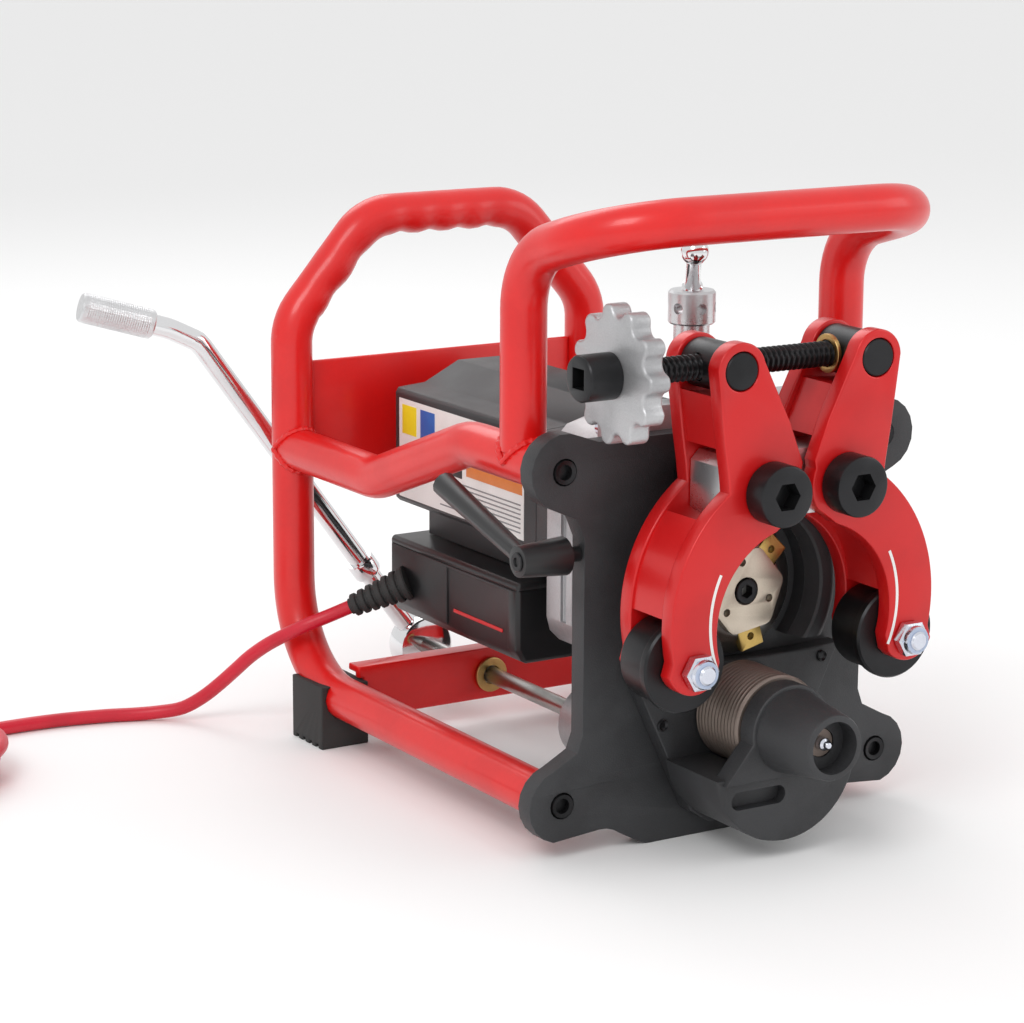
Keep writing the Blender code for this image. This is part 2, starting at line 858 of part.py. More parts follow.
def cutter_hub():
    """The face plate that holds the cutter, with three small holes."""
    outline = bent(
        [((HUB_R * 1.12 * math.cos(math.radians(a)), HUB_R * 1.12 * math.sin(math.radians(a))), 0.006)
         for a in range(10, 370, 60)],
        steps=2,
        closed=True,
    )
    holes = [circle((0.0195 * math.cos(math.radians(a)), 0.0195 * math.sin(math.radians(a))), 0.0026, 12)
             for a in (100, 220, 340)]
    holes.append(circle((0, 0), 0.0092, 20))
    plate = upright("cutter_hub", [tuple(p) for p in outline], 0, 0.0055, NICKEL, holes=holes)
    plate.location = (0, -0.0160 - GAP - 0.0055 / 2, SPINDLE_Z)
    return plate


def cutter_insert(name, angle):
    """A four-sided carbide insert in its pocket."""
    insert = block(name, (0.0222, -0.0025, -0.0088), (0.0415, 0.0025, 0.0088), CARBIDE)
    insert.location = (0, -0.0130, SPINDLE_Z)
    insert.rotation_euler = (0, -math.radians(angle), 0)
    return insert


def cutter_bolt():
    bolt = turned(
        "cutter_bolt",
        [(0.0078, 0.0228), (0.0084, 0.0220), (0.0084, 0.0050)],
        (0, 0, SPINDLE_Z),
        "-y",
        BLACK_STEEL,
        steps=20,
    )
    return cut(bolt, hexagon("cutter_bolt_socket", (0, -0.03, SPINDLE_Z), (0, -0.013, SPINDLE_Z), 0.008,
                             BLACK_STEEL))


# ---------------------------------------------------------------- motor unit


def gear_case():
    """The cast case on the slide: a notched flange, and a housing that is open behind."""
    y0 = SLIDE_Y
    flange = block("gear_case", (-0.078, y0, 0.098), (0.078, y0 + 0.018, 0.285), CAST_ALUMINIUM)
    outline = bent(
        [((-0.066, 0.108), 0.02), ((0.066, 0.108), 0.02), ((0.066, 0.262), 0.03), ((-0.066, 0.262), 0.03)],
        steps=3,
        closed=True,
    )
    house = upright("case_house", [tuple(p) for p in outline], y0 + 0.016, HOOD_FRONT - GAP, CAST_ALUMINIUM)
    cavity = upright("case_cavity", circle((0, 0.185), 0.050), 0.072, HOOD_FRONT + 0.01, CAST_ALUMINIUM)
    spindle_z = SPINDLE_Z
    bore = bar("spindle_bore", (0, y0 - 0.01, spindle_z), (0, 0.08, spindle_z), 0.0146, CAST_ALUMINIUM)
    depth = bar("depth_bore", (0, SCREW_POST_Y, 0.200), (0, SCREW_POST_Y, 0.30), 0.0056, CAST_ALUMINIUM)
    notches = [
        block("case_notch", (-0.09, y0 + 0.004, z), (-0.068, y0 + 0.03, z + 0.018), CAST_ALUMINIUM)
        for z in (0.112, 0.142, 0.236)
    ]
    return cut(join(flange, house), cavity, bore, depth, *notches)


def spindle_gear():
    """The gear on the spindle, inside the case."""
    return toothed("spindle_gear", 0.0285, 0.0262, 18, 0.0104, (0.090, 0.104), SPINDLE_Z, STEEL)


def toothed(name, outer, root, teeth, bore, y_span, z, look):
    outline = []
    for tooth in range(teeth):
        for part, radius in ((0.0, root), (0.28, outer), (0.5, outer), (0.78, root)):
            turn = 2 * math.pi * (tooth + part) / teeth
            outline.append((radius * math.cos(turn), z + radius * math.sin(turn)))
    return upright(name, outline, *y_span, look, holes=[circle((0, z), bore, 16)])


def motor_armature():
    """The motor's rotor, with its pinion cut on the shaft."""
    return turned(
        "motor_armature",
        [
            (0.0113, -0.088),
            (0.0113, -0.106),
            (0.0070, -0.108),
            (0.0070, -0.130),
            (0.0310, -0.132),
            (0.0310, -0.220),
            (0.0180, -0.224),
            (0.0180, -0.250),
            (0.0060, -0.252),
            (0.0060, -0.290),
        ],
        (0, 0, MOTOR_Z),
        "-y",
        STEEL,
        steps=20,
    )


def motor_hood():
    """The motor's housing: a box with bevelled shoulders, open at its front."""
    section = [
        (-HOOD_X, 0.167), (HOOD_X, 0.167), (HOOD_X, 0.245), (0.035, 0.266), (-0.010, 0.266),
        (-0.036, 0.252), (-HOOD_X, 0.250),
    ]
    hood = upright("motor_hood", section, HOOD_FRONT, HOOD_REAR, GREY_PLASTIC)
    rounded_edges(hood, 0.003, 1)
    neck = block("hood_neck", (-0.050, 0.150, BOX_HIGH[2] + GAP), (0.036, 0.300, 0.172), GREY_PLASTIC)
    cavity = bar("hood_cavity", (0, HOOD_FRONT - 0.02, MOTOR_Z), (0, HOOD_REAR - 0.02, MOTOR_Z), 0.0345,
                 GREY_PLASTIC)
    return cut(join(hood, neck), cavity)


def switch_box():
    """The control box under the motor, with a well in its right side for the switch."""
    section = [
        (BOX_LOW[0] + 0.006, BOX_LOW[2]), (BOX_HIGH[0] - 0.006, BOX_LOW[2]),
        (BOX_HIGH[0], BOX_LOW[2] + 0.010), (BOX_HIGH[0], BOX_HIGH[2]),
        (BOX_LOW[0], BOX_HIGH[2]), (BOX_LOW[0], BOX_LOW[2] + 0.010),
    ]
    box = upright("switch_box", section, BOX_LOW[1], BOX_HIGH[1], BLACK_PLASTIC)
    rounded_edges(box, 0.0025, 1)
    y, z = SWITCH_YZ
    edge = BOX_HIGH[0]
    well = block("switch_well", (edge - 0.010, y - 0.017, z - 0.0145), (edge + 0.01, y + 0.017, z + 0.0145),
                 BLACK_PLASTIC)
    panel = block("side_panel", (-0.09, 0.150, 0.096), (BOX_LOW[0] + 0.0015, 0.232, 0.138), BLACK_PLASTIC)
    return cut(box, well, panel)


def power_switch():
    """The rocker in its well, ready to tip about an upright axis."""
    half = 0.0140
    outline = [
        (half, -0.0050), (half, 0.0018), (0, 0.0002), (-half, 0.0035), (-half, -0.0040), (0, -0.0062),
    ]
    y, z = SWITCH_YZ
    rocker = sheet("power_switch", outline, 0.0250, BLACK_PLASTIC, turn=(0, 0, 0))
    rocker.location = (BOX_HIGH[0] - 0.0018, y, z)
    rocker.rotation_euler = (0, 0, -QUARTER)
    return rocker


def strain_relief():
    """The ribbed sleeve where the cord leaves the box."""
    ribs = 5
    length = RELIEF_LENGTH
    pitch = length / ribs
    profile = []
    for i in range(ribs):
        top, radius = -pitch * i, 0.0125 - 0.0045 * i / ribs
        profile += [(radius, top), (radius, top - 0.62 * pitch), (radius - 0.0020, top - 0.62 * pitch),
                    (radius - 0.0020, top - pitch)]
    sleeve = turned("strain_relief", profile, (0, 0, 0), "z", RUBBER, steps=14)
    sleeve.rotation_mode = "QUATERNION"
    sleeve.location = RELIEF_START
    sleeve.rotation_quaternion = (-RELIEF_WAY).to_track_quat("Z", "Y")
    side = block("relief_side", (BOX_LOW[0] - GAP, 0.24, 0.08), (0, 0.33, 0.15), RUBBER)
    return cut(sleeve, side)


def lock_lever():
    """The clamping lever that locks the slide, with its stud."""
    y, z = LOCK_YZ
    hub = bar("lock_lever", (-0.155, y, z), (-0.121, y, z), 0.0100, BLACK_PLASTIC, sides=20,
              end_radius=0.0125)
    stud = bar("lock_stud", (-0.13, y, z), (-WAIST_X - GAP, y, z), 0.005, BLACK_STEEL, sides=16)
    arm = bar("lock_arm", (-0.1485, y + 0.003, z + 0.001), (-0.1500, 0.107, 0.229), 0.0062, BLACK_PLASTIC,
              sides=12, end_radius=0.0082)
    return join(hub, stud, arm)


def depth_screw():
    """The vertical screw that sets the depth of cut, with its cross-drilled hub."""
    hub = turned(
        "depth_screw",
        [
            (0.0142, 0.353),
            (0.0155, 0.3515),
            (0.0155, 0.3325),
            (0.0142, 0.331),
            (0.0118, 0.331),
            (0.0118, BRIDGE_Z + 0.007 + GAP),
            (0.0062, BRIDGE_Z + 0.007 + GAP),
            (0.0062, 0.289),
            (0.0050, 0.288),
            (0.0050, 0.215),
        ],
        (0, SCREW_POST_Y, 0),
        "z",
        ALUMINIUM,
        steps=22,
    )
    return hub


def depth_lever():
    """The ball-ended lever rod in the hub of the depth screw."""
    foot, end = Vector((0, SCREW_POST_Y, 0.3533)), Vector((-0.013, 0.024, 0.381))
    rod = bar("depth_lever", foot, foot.lerp(end, 0.9), 0.0055, CHROME, sides=14)
    trim = block("lever_trim", foot + Vector((-0.02, -0.02, -0.02)), foot + Vector((0.02, 0.02, 0)), CHROME)
    return cut(join(rod, ball("depth_ball", end, 0.009, CHROME)), trim)


# ---------------------------------------------------------------- feed


def feed_shaft():
    """The feed shaft with its pinion, from the front bearing to the ratchet."""
    return turned(
        "feed_shaft",
        [
            (SHAFT_R, 0.030),
            (SHAFT_R, 0.0105),
            (PINION_R - 0.0012, 0.0105),
            (PINION_R - 0.0012, -0.0025),
            (SHAFT_R, -0.0025),
            (SHAFT_R, -0.413),
        ],
        (0, 0, SHAFT_Z),
        "-y",
        STEEL,
        steps=20,
    )


def roller_gear():
    """The gear on the feed roller's shaft, driven by the pinion."""
    return toothed("roller_gear", GEAR_R, GEAR_R - 0.0026, 20, 0.0094, (-0.0105, 0.0025), FEED_Z, STEEL)


def pinion_housing():
    """The round bearing housing of the feed shaft, behind the plate."""
    return turned(
        "shaft_housing",
        [
            (0.0280, -PLATE_T - GAP),
            (0.0280, -0.158),
            (0.0260, -0.160),
            (SHAFT_R + 0.0006, -0.160),
            (SHAFT_R + 0.0006, -PLATE_T - GAP),
        ],
        (0, 0, SHAFT_Z),
        "-y",
        CAST_ALUMINIUM,
        steps=30,
        ring=True,
    )


def feed_roller():
    """The knurled roller on its shaft."""
    return turned(
        "feed_roller",
        [
            (0.0090, 0.1040),
            (0.0090, 0.0590),
            (FEED_R - 0.0015, 0.0590),
            (FEED_R, 0.0575),
            (FEED_R, 0.0155),
            (FEED_R - 0.0015, 0.0140),
            (0.0090, 0.0140),
            (0.0090, -0.0100),
        ],
        (0, 0, FEED_Z),
        "-y",
        STEEL,
        steps=30,
    )


def roller_housing():
    """The cast cover of the feed gears, with the front bearing of the roller."""
    cover = [
        (-0.035, 0.022), (-0.020, 0.012), (0.020, 0.012), (0.035, 0.022), (0.082, 0.120), (0.060, 0.1185),
        (-0.060, 0.1185), (-0.082, 0.120),
    ]
    base = upright("roller_housing", cover, -0.0135, -GAP, DARK_CAST)
    low_outline = arc((0, 0.067), 0.055, 188, 352, 14)
    low = upright("housing_low", low_outline, -0.0700, -0.0120, DARK_CAST)
    face_outline = arc((0, FEED_Z), 0.0300, -10, 190, 8) + [(-0.050, 0.056), (0.050, 0.056)]
    face = upright("housing_face", face_outline, -0.0740, -0.0585, DARK_CAST)
    boss = turned(
        "housing_boss",
        [(0.0200, 0.119), (0.0215, 0.1175), (0.0250, 0.090), (0.0285, 0.068)],
        (0, 0, FEED_Z),
        "-y",
        DARK_CAST,
    )
    slot = bent(
        [((-0.042, 0.038), 0.005), ((-0.002, 0.038), 0.005), ((-0.002, 0.050), 0.005),
         ((-0.042, 0.050), 0.005)],
        steps=2,
        closed=True,
    )
    cutters = [
        bar("roller_room", (0, -0.0600, FEED_Z), (0, -0.0130, FEED_Z), FEED_R + 0.0014, DARK_CAST, sides=30),
        bar("gear_room", (0, -0.0115, FEED_Z), (0, 0.01, FEED_Z), GEAR_R + 0.0012, DARK_CAST, sides=30),
        bar("pinion_room", (0, -0.0117, SHAFT_Z), (0, 0.01, SHAFT_Z), PINION_R + 0.0012, DARK_CAST),
        bar("shaft_room", (0, -0.033, SHAFT_Z), (0, 0.01, SHAFT_Z), SHAFT_R + 0.0006, DARK_CAST),
        bar("journal_room", (0, -0.130, FEED_Z), (0, 0.01, FEED_Z), 0.0094, DARK_CAST),
        bar("boss_mouth", (0, -0.130, FEED_Z), (0, -0.1050, FEED_Z), 0.0170, DARK_CAST),
        upright("housing_slot", [tuple(p) for p in slot], -0.09, -0.062, DARK_CAST),
    ]
    return cut(join(base, low, face, boss), *cutters)


def grease_fitting():
    """The grease nipple in the end of the roller's shaft."""
    return turned(
        "grease_fitting",
        [(0.0018, 0.0090), (0.0030, 0.0075), (0.0020, 0.0055), (0.0042, 0.0045), (0.0042, 0.0)],
        (0, -0.1043, FEED_Z),
        "-y",
        ZINC,
        steps=12,
    )


def ratchet_lever():
    """The chromed ratchet lever: head, straight bar and bent neck."""
    head = turned(
        "ratchet_lever",
        [(0.0205, 0.011), (0.022, 0.0095), (0.022, -0.0095), (0.0205, -0.011), (SHAFT_R + GAP, -0.011),
         (SHAFT_R + GAP, 0.011)],
        (0, LEVER_Y, SHAFT_Z),
        "-y",
        CHROME,
        steps=22,
        ring=True,
    )
    stem = tube("lever_stem", lever_route(), 0.0077, CHROME, resolution=4)
    return join(head, as_mesh(stem))


LEVER_KNEE = Vector((-0.183, LEVER_Y, 0.283))
LEVER_NECK = Vector((-0.204, LEVER_Y + 0.004, 0.2935))
LEVER_END = Vector((-0.266, LEVER_Y + 0.018, 0.312))


def lever_route():
    away = (LEVER_KNEE - Vector((0, LEVER_Y, SHAFT_Z))).normalized()
    start = Vector((0, LEVER_Y, SHAFT_Z)) + away * 0.021
    onward = (LEVER_END - LEVER_NECK).normalized()
    return bent([(start, 0), (LEVER_KNEE, 0.012), (LEVER_NECK, 0.012), (LEVER_NECK + onward * 0.012, 0)])


def lever_grip():
    """The ribbed grip on the end of the lever."""
    onward = (LEVER_END - LEVER_NECK).normalized()
    start = LEVER_NECK + onward * (0.012 + GAP)
    length = (LEVER_END - start).length
    grip = turned(
        "lever_grip",
        [(0.0095, 0.0), (0.0108, -0.0015), (0.0108, -length + 0.0015), (0.0095, -length)],
        start,
        "z",
        ALUMINIUM,
        steps=20,
    )
    grip.rotation_mode = "QUATERNION"
    grip.rotation_quaternion = (-onward).to_track_quat("Z", "Y")
    return grip


# ---------------------------------------------------------------- power cord


def smooth_route(points, spacing):
    """Evenly spaced points on a smooth curve through the given ones."""
    points = [Vector(p) for p in points]
    fine = []
    for i in range(len(points) - 1):
        a, b = points[i], points[i + 1]
        before, after = points[max(i - 1, 0)], points[min(i + 2, len(points) - 1)]
        for k in range(24):
            t = k / 24
            bend = (2 * before - 5 * a + 4 * b - after) * t * t + (3 * a - before - 3 * b + after) * t ** 3
            fine.append((2 * a + (b - before) * t + bend) / 2)
    fine.append(points[-1])
    total = sum((b - a).length for a, b in zip(fine, fine[1:]))
    count = round(total / spacing)
    route, walked = [fine[0]], 0.0
    for a, b in zip(fine, fine[1:]):
        length = (b - a).length
        while len(route) < count and walked + length >= total * len(route) / count:
            route.append(a.lerp(b, (total * len(route) / count - walked) / length))
        walked += length
    route.append(points[-1])
    return route


CORD_START = RELIEF_START + RELIEF_WAY * (RELIEF_LENGTH + GAP)
CORD_ROUTE = [
    CORD_START,
    CORD_START + RELIEF_WAY * 0.015,
    (-0.142, 0.333, 0.0790),
    (-0.160, 0.360, 0.0590),
    (-0.177, 0.388, 0.0300),
    (-0.195, 0.407, 0.0110),
    (-0.219, 0.423, 0.0056),
    (-0.251, 0.434, 0.0053),
    (-0.290, 0.441, 0.0053),
    (-0.335, 0.441, 0.0053),
    (-0.380, COIL_CENTRE.y + 0.065, 0.0053),
]


def power_cord():
    """The cord's free stretch, its coil as one ring, and the plug beside it."""
    lead = tube("power_cord", smooth_route(CORD_ROUTE, 0.012), CORD_R, CORD_RED, resolution=2)
    inner, outer = COIL_R - COIL_WIDTH / 2, COIL_R + COIL_WIDTH / 2
    coil = turned(
        "cord_coil",
        [(outer - 0.003, COIL_HEIGHT), (outer, COIL_HEIGHT - 0.003), (outer, 0.0035), (outer - 0.003, 0.0005),
         (inner + 0.003, 0.0005), (inner, 0.0035), (inner, COIL_HEIGHT - 0.003),
         (inner + 0.003, COIL_HEIGHT)],
        COIL_CENTRE,
        "z",
        CORD_RED,
        steps=32,
        ring=True,
    )
    shell = turned(
        "mains_plug",
        [(0.0062, 0.0), (0.0090, -0.022), (0.0175, -0.026), (0.0185, -0.034), (0.0185, -0.058),
         (0.0170, -0.060)],
        PLUG_PLACE,
        "-y",
        RUBBER,
        steps=18,
    )
    shell.rotation_euler = (-QUARTER, math.pi, 0)
    pins = [
        bar("plug_pin", PLUG_PLACE + Vector((s * 0.0095, -0.055, 0)),
            PLUG_PLACE + Vector((s * 0.0095, -0.079, 0)), 0.0024, ZINC, sides=10)
        for s in (-1, 1)
    ]
    return lead, coil, join(shell, *pins)


def settle_origin():
    """Moves everything from the plate's front face to the middle of its thickness."""
    for obj in bpy.data.objects:
        if obj.parent is None:
            obj.location.y -= PLATE_T / 2


def main():
    hoop("rear_hoop", TUBE_R)
    upper_rail("left_rail", -1)
    upper_rail("right_rail", 1)
    front_handle()
    cross_plates()
    foot("left_foot", -1)
    foot("right_foot", 1)
    front_plate()
    for row, z in (("lower", LOW_Z), ("upper", HIGH_Z)):
        plate_bolt(f"{row}_left_bolt", -FRAME_X, z)
        plate_bolt(f"{row}_right_bolt", FRAME_X, z)
    cutter_guard()
    slide_guide()
    pivot_block()
    for word, side in (("left", -1), ("right", 1)):
        arm_axis = joint_axis(f"{word}_arm_axis", (side * PIVOT[0], 0, PIVOT[1]))
        hang(
            arm_axis,
            clamp_arm(f"{word}_arm", side),
            roller_bolt(f"{word}_roller_bolt", side),
        )
        hang(joint_axis(f"{word}_pin_axis", (side * PIN[0], 0, PIN[1])), trunnion(f"{word}_trunnion", side))
        hang(joint_axis(f"{word}_roller_axis", (side * ROLLER[0], 0, ROLLER[1])),
             clamp_roller(f"{word}_roller", side))
        pivot_bolt(f"{word}_pivot_bolt", side)
        pivot_spacer(f"{word}_pivot_spacer", side)
    hang(joint_axis("clamp_screw_axis", (0, SCREW_Y, PIN[1])), clamp_screw(), handwheel(), end_collar())
    hang(
        joint_axis("spindle_axis", (0, 0, SPINDLE_Z)),
        spindle(),
        cutter_head(),
        cutter_hub(),
        cutter_bolt(),
        spindle_gear(),
        *(cutter_insert(f"cutter_insert_{i + 1}", a) for i, a in enumerate(CUTTER_SLOTS)),
    )
    hang(joint_axis("armature_axis", (0, 0, MOTOR_Z)), motor_armature())
    hang(joint_axis("slide_axis", (0, SLIDE_Y, SPINDLE_Z)), gear_case(), motor_hood(), switch_box(),
         strain_relief())
    hang(joint_axis("switch_axis", (BOX_HIGH[0] - 0.0018, *SWITCH_YZ)), power_switch())
    hang(joint_axis("lock_axis", (0, *LOCK_YZ)), lock_lever())
    hang(joint_axis("depth_axis", (0, SCREW_POST_Y, 0)), depth_screw(), depth_lever())
    hang(joint_axis("shaft_axis", (0, 0, SHAFT_Z)), feed_shaft())
    hang(joint_axis("feed_axis", (0, 0, FEED_Z)), feed_roller(), roller_gear(), grease_fitting())
    pinion_housing()
    roller_housing()
    power_cord()
    hang(joint_axis("lever_axis", (0, LEVER_Y, SHAFT_Z)), ratchet_lever(), lever_grip())
    settle_origin()


main()
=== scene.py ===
"""Looks of the pipe bevelling machine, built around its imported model.

Sizes are in metres. Y is counted from the front face of the cast plate, as the
machine's drawings do, and at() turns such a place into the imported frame.
"""

from __future__ import annotations

import json
import logging
import math
from dataclasses import dataclass, field
from enum import Enum
from typing import Callable, Iterable, Sequence

import bmesh
import bpy
from mathutils import Matrix, Vector

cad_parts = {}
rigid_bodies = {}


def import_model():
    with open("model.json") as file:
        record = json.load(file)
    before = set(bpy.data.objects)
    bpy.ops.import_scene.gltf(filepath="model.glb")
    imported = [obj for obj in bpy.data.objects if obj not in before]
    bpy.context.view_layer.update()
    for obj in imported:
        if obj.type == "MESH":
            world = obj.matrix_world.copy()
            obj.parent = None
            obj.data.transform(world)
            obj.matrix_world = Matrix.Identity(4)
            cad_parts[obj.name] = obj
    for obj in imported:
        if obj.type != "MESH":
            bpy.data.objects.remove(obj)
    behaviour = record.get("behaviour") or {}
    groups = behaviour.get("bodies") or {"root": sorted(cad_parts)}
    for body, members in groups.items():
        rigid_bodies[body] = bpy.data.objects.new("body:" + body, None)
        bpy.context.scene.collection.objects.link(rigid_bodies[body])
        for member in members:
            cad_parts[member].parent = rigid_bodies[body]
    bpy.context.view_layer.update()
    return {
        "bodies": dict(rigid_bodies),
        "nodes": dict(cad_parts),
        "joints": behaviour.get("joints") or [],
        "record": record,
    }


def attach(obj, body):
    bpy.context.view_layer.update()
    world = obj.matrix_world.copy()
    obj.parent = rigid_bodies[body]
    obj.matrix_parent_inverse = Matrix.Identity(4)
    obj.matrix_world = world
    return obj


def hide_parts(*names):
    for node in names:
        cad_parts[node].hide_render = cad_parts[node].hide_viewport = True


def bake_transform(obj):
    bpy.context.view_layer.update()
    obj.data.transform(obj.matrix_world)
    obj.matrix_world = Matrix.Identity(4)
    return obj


log = logging.getLogger("bevelling_machine")

Point2 = tuple[float, float]
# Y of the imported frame's origin, and the cutter's axis as (x, z).
PLATE_MID = 0.007
CUTTER_AXIS: Point2 = (0, 0.166)
QUARTER = math.pi / 2
FORWARD = Vector((0, -1, 0))
REARWARD = Vector((0, 1, 0))
RIGHTWARD = Vector((1, 0, 0))
UPWARD = Vector((0, 0, 1))
SIDES = (("left", -1), ("right", 1))
# How much of a finish's second tone comes from grain, and how much from smudges.
GRAIN_SHARE = 0.35
SMUDGE_SHARE = 0.65
COAT_ROUGHNESS = 0.12
UNSTRETCHED = {"Stretch X": 1.0, "Stretch Y": 1.0, "Stretch Z": 1.0}
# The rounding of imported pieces: faces across it, and the least angle that it takes.
EDGE_SEGMENTS = 3
EDGE_ANGLE = math.radians(38)


def at(x: float, y: float, z: float) -> Vector:
    """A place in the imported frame, from one counted from the plate's front face."""
    return Vector((x, y - PLATE_MID, z))


# ------------------------------------------------------------------ shader groups


def new_group(name: str, inputs: dict[str, float], outputs: Sequence[str]) -> bpy.types.NodeTree:
    """Makes an empty shader node group with float sockets.

    Args:
        name: The group's name.
        inputs: Each input's name and default value.
        outputs: The names of the float outputs.

    Returns:
        The group, with one Group Input and one Group Output node.
    """
    group = bpy.data.node_groups.new(name, "ShaderNodeTree")
    for label, value in inputs.items():
        socket = group.interface.new_socket(name=label, in_out="INPUT", socket_type="NodeSocketFloat")
        socket.default_value = value
    for label in outputs:
        group.interface.new_socket(name=label, in_out="OUTPUT", socket_type="NodeSocketFloat")
    group.nodes.new("NodeGroupInput")
    group.nodes.new("NodeGroupOutput")
    return group


class Mapping(Enum):
    """Directions in which a texture is stretched, as a scale on X, Y and Z."""

    EVEN = (1.0, 1.0, 1.0)
    ALONG_X = (0.04, 1.0, 1.0)


@dataclass
class Effects:
    """The node groups that several finishes share, each made once."""

    grain: bpy.types.NodeTree = field(init=False)
    smudge: bpy.types.NodeTree = field(init=False)

    def __post_init__(self) -> None:
        """Builds the groups."""
        self.grain = self._grain()
        self.smudge = self._smudge()

    @staticmethod
    def _coordinates(group: bpy.types.NodeTree) -> bpy.types.NodeSocket:
        """Adds object coordinates, scaled by the group's Stretch inputs.

        Args:
            group: The group to add nodes to.

        Returns:
            The socket that carries the stretched coordinates.
        """
        place = group.nodes.new("ShaderNodeTexCoord")
        stretch = group.nodes.new("ShaderNodeCombineXYZ")
        multiply = group.nodes.new("ShaderNodeVectorMath")
        multiply.operation = "MULTIPLY"
        entry = group.nodes["Group Input"]
        for axis in "XYZ":
            group.links.new(entry.outputs[f"Stretch {axis}"], stretch.inputs[axis])
        group.links.new(place.outputs["Object"], multiply.inputs[0])
        group.links.new(stretch.outputs["Vector"], multiply.inputs[1])
        return multiply.outputs["Vector"]

    def _noise(self, group: bpy.types.NodeTree, detail: float) -> tuple[bpy.types.Node, bpy.types.Node]:
        """Adds noise at the group's Scale, and a node that spreads its range.

        Args:
            group: The group to add nodes to.
            detail: How fine the noise goes.

        Returns:
            The noise node, and the Map Range node that takes its value.
        """
        where = self._coordinates(group)
        noise = group.nodes.new("ShaderNodeTexNoise")
        noise.inputs["Detail"].default_value = detail
        spread = group.nodes.new("ShaderNodeMapRange")
        group.links.new(where, noise.inputs["Vector"])
        group.links.new(group.nodes["Group Input"].outputs["Scale"], noise.inputs["Scale"])
        group.links.new(noise.outputs["Fac"], spread.inputs["Value"])
        return noise, spread

    def _grain(self) -> bpy.types.NodeTree:
        """Fine grain: a height for bump and a tone for colour and roughness."""
        group = new_group("fine_grain", {"Scale": 900.0, **UNSTRETCHED}, ("Height", "Tone"))
        noise, spread = self._noise(group, 4.0)
        noise.inputs["Roughness"].default_value = 0.62
        spread.inputs["From Min"].default_value = 0.3
        spread.inputs["From Max"].default_value = 0.7
        leave = group.nodes["Group Output"]
        group.links.new(noise.outputs["Fac"], leave.inputs["Height"])
        group.links.new(spread.outputs["Result"], leave.inputs["Tone"])
        return group

    def _smudge(self) -> bpy.types.NodeTree:
        """Broad patches of handling and dust, as a mask from 0 to 1."""
        group = new_group("smudge", {"Scale": 22.0, "Low": 0.42, "High": 0.68, **UNSTRETCHED}, ("Mask",))
        _, spread = self._noise(group, 6.0)
        spread.interpolation_type = "SMOOTHSTEP"
        entry, leave = group.nodes["Group Input"], group.nodes["Group Output"]
        group.links.new(entry.outputs["Low"], spread.inputs["From Min"])
        group.links.new(entry.outputs["High"], spread.inputs["From Max"])
        group.links.new(spread.outputs["Result"], leave.inputs["Mask"])
        return group


@dataclass(frozen=True)
class Finish:
    """A surface: its colour, gloss, grain and wear."""

    slot: str
    colour: tuple[float, float, float]
    second: tuple[float, float, float]
    roughness: float
    metallic: float = 0.0
    coat: float = 0.0
    gloss_spread: float = 0.12
    grain_scale: float = 900.0
    grain_depth: float = 0.00006
    smudge_scale: float = 22.0
    stretch: Mapping = Mapping.EVEN

    def material(self, name: str, effects: Effects) -> bpy.types.Material:
        """Builds the material.

        Args:
            name: The material's name.
            effects: The shared node groups.

        Returns:
            A Principled material whose colour, roughness and bump come from the groups.
        """
        made = bpy.data.materials.new(name)
        made.use_nodes = True
        made.diffuse_color = (*self.colour, 1.0)
        tree = made.node_tree
        shader = tree.nodes["Principled BSDF"]
        shader.inputs["Metallic"].default_value = self.metallic
        shader.inputs["Coat Weight"].default_value = self.coat
        shader.inputs["Coat Roughness"].default_value = COAT_ROUGHNESS
        grain = self._group(tree, effects.grain, {"Scale": self.grain_scale})
        smudge = self._group(tree, effects.smudge, {"Scale": self.smudge_scale})
        mix = tree.nodes.new("ShaderNodeMix")
        mix.data_type = "RGBA"
        mix.inputs["A"].default_value = (*self.colour, 1.0)
        mix.inputs["B"].default_value = (*self.second, 1.0)
        blend = tree.nodes.new("ShaderNodeMath")
        blend.operation = "MULTIPLY_ADD"
        blend.inputs[1].default_value = GRAIN_SHARE
        tree.links.new(grain.outputs["Tone"], blend.inputs[0])
        scaled = tree.nodes.new("ShaderNodeMath")
        scaled.operation = "MULTIPLY"
        scaled.inputs[1].default_value = SMUDGE_SHARE
        tree.links.new(smudge.outputs["Mask"], scaled.inputs[0])
        tree.links.new(scaled.outputs[0], blend.inputs[2])
        tree.links.new(blend.outputs[0], mix.inputs["Factor"])
        tree.links.new(mix.outputs["Result"], shader.inputs["Base Color"])
        rough = tree.nodes.new("ShaderNodeMapRange")
        rough.inputs["To Min"].default_value = max(0.02, self.roughness - self.gloss_spread / 2)
        rough.inputs["To Max"].default_value = min(1.0, self.roughness + self.gloss_spread / 2)
        tree.links.new(blend.outputs[0], rough.inputs["Value"])
        tree.links.new(rough.outputs["Result"], shader.inputs["Roughness"])
        bump = tree.nodes.new("ShaderNodeBump")
        bump.inputs["Distance"].default_value = self.grain_depth
        tree.links.new(grain.outputs["Height"], bump.inputs["Height"])
        tree.links.new(bump.outputs["Normal"], shader.inputs["Normal"])
        return made

    def _group(
        self, tree: bpy.types.NodeTree, group: bpy.types.NodeTree, values: dict[str, float]
    ) -> bpy.types.Node:
        """Places a shared group in a material.

        Args:
            tree: The material's nodes.
            group: The shared group.
            values: Input values by name.

        Returns:
            The group's node.
        """
        node = tree.nodes.new("ShaderNodeGroup")
        node.node_tree = group
        for axis, value in zip("XYZ", self.stretch.value):
            node.inputs[f"Stretch {axis}"].default_value = value
        for label, value in values.items():
            node.inputs[label].default_value = value
        return node


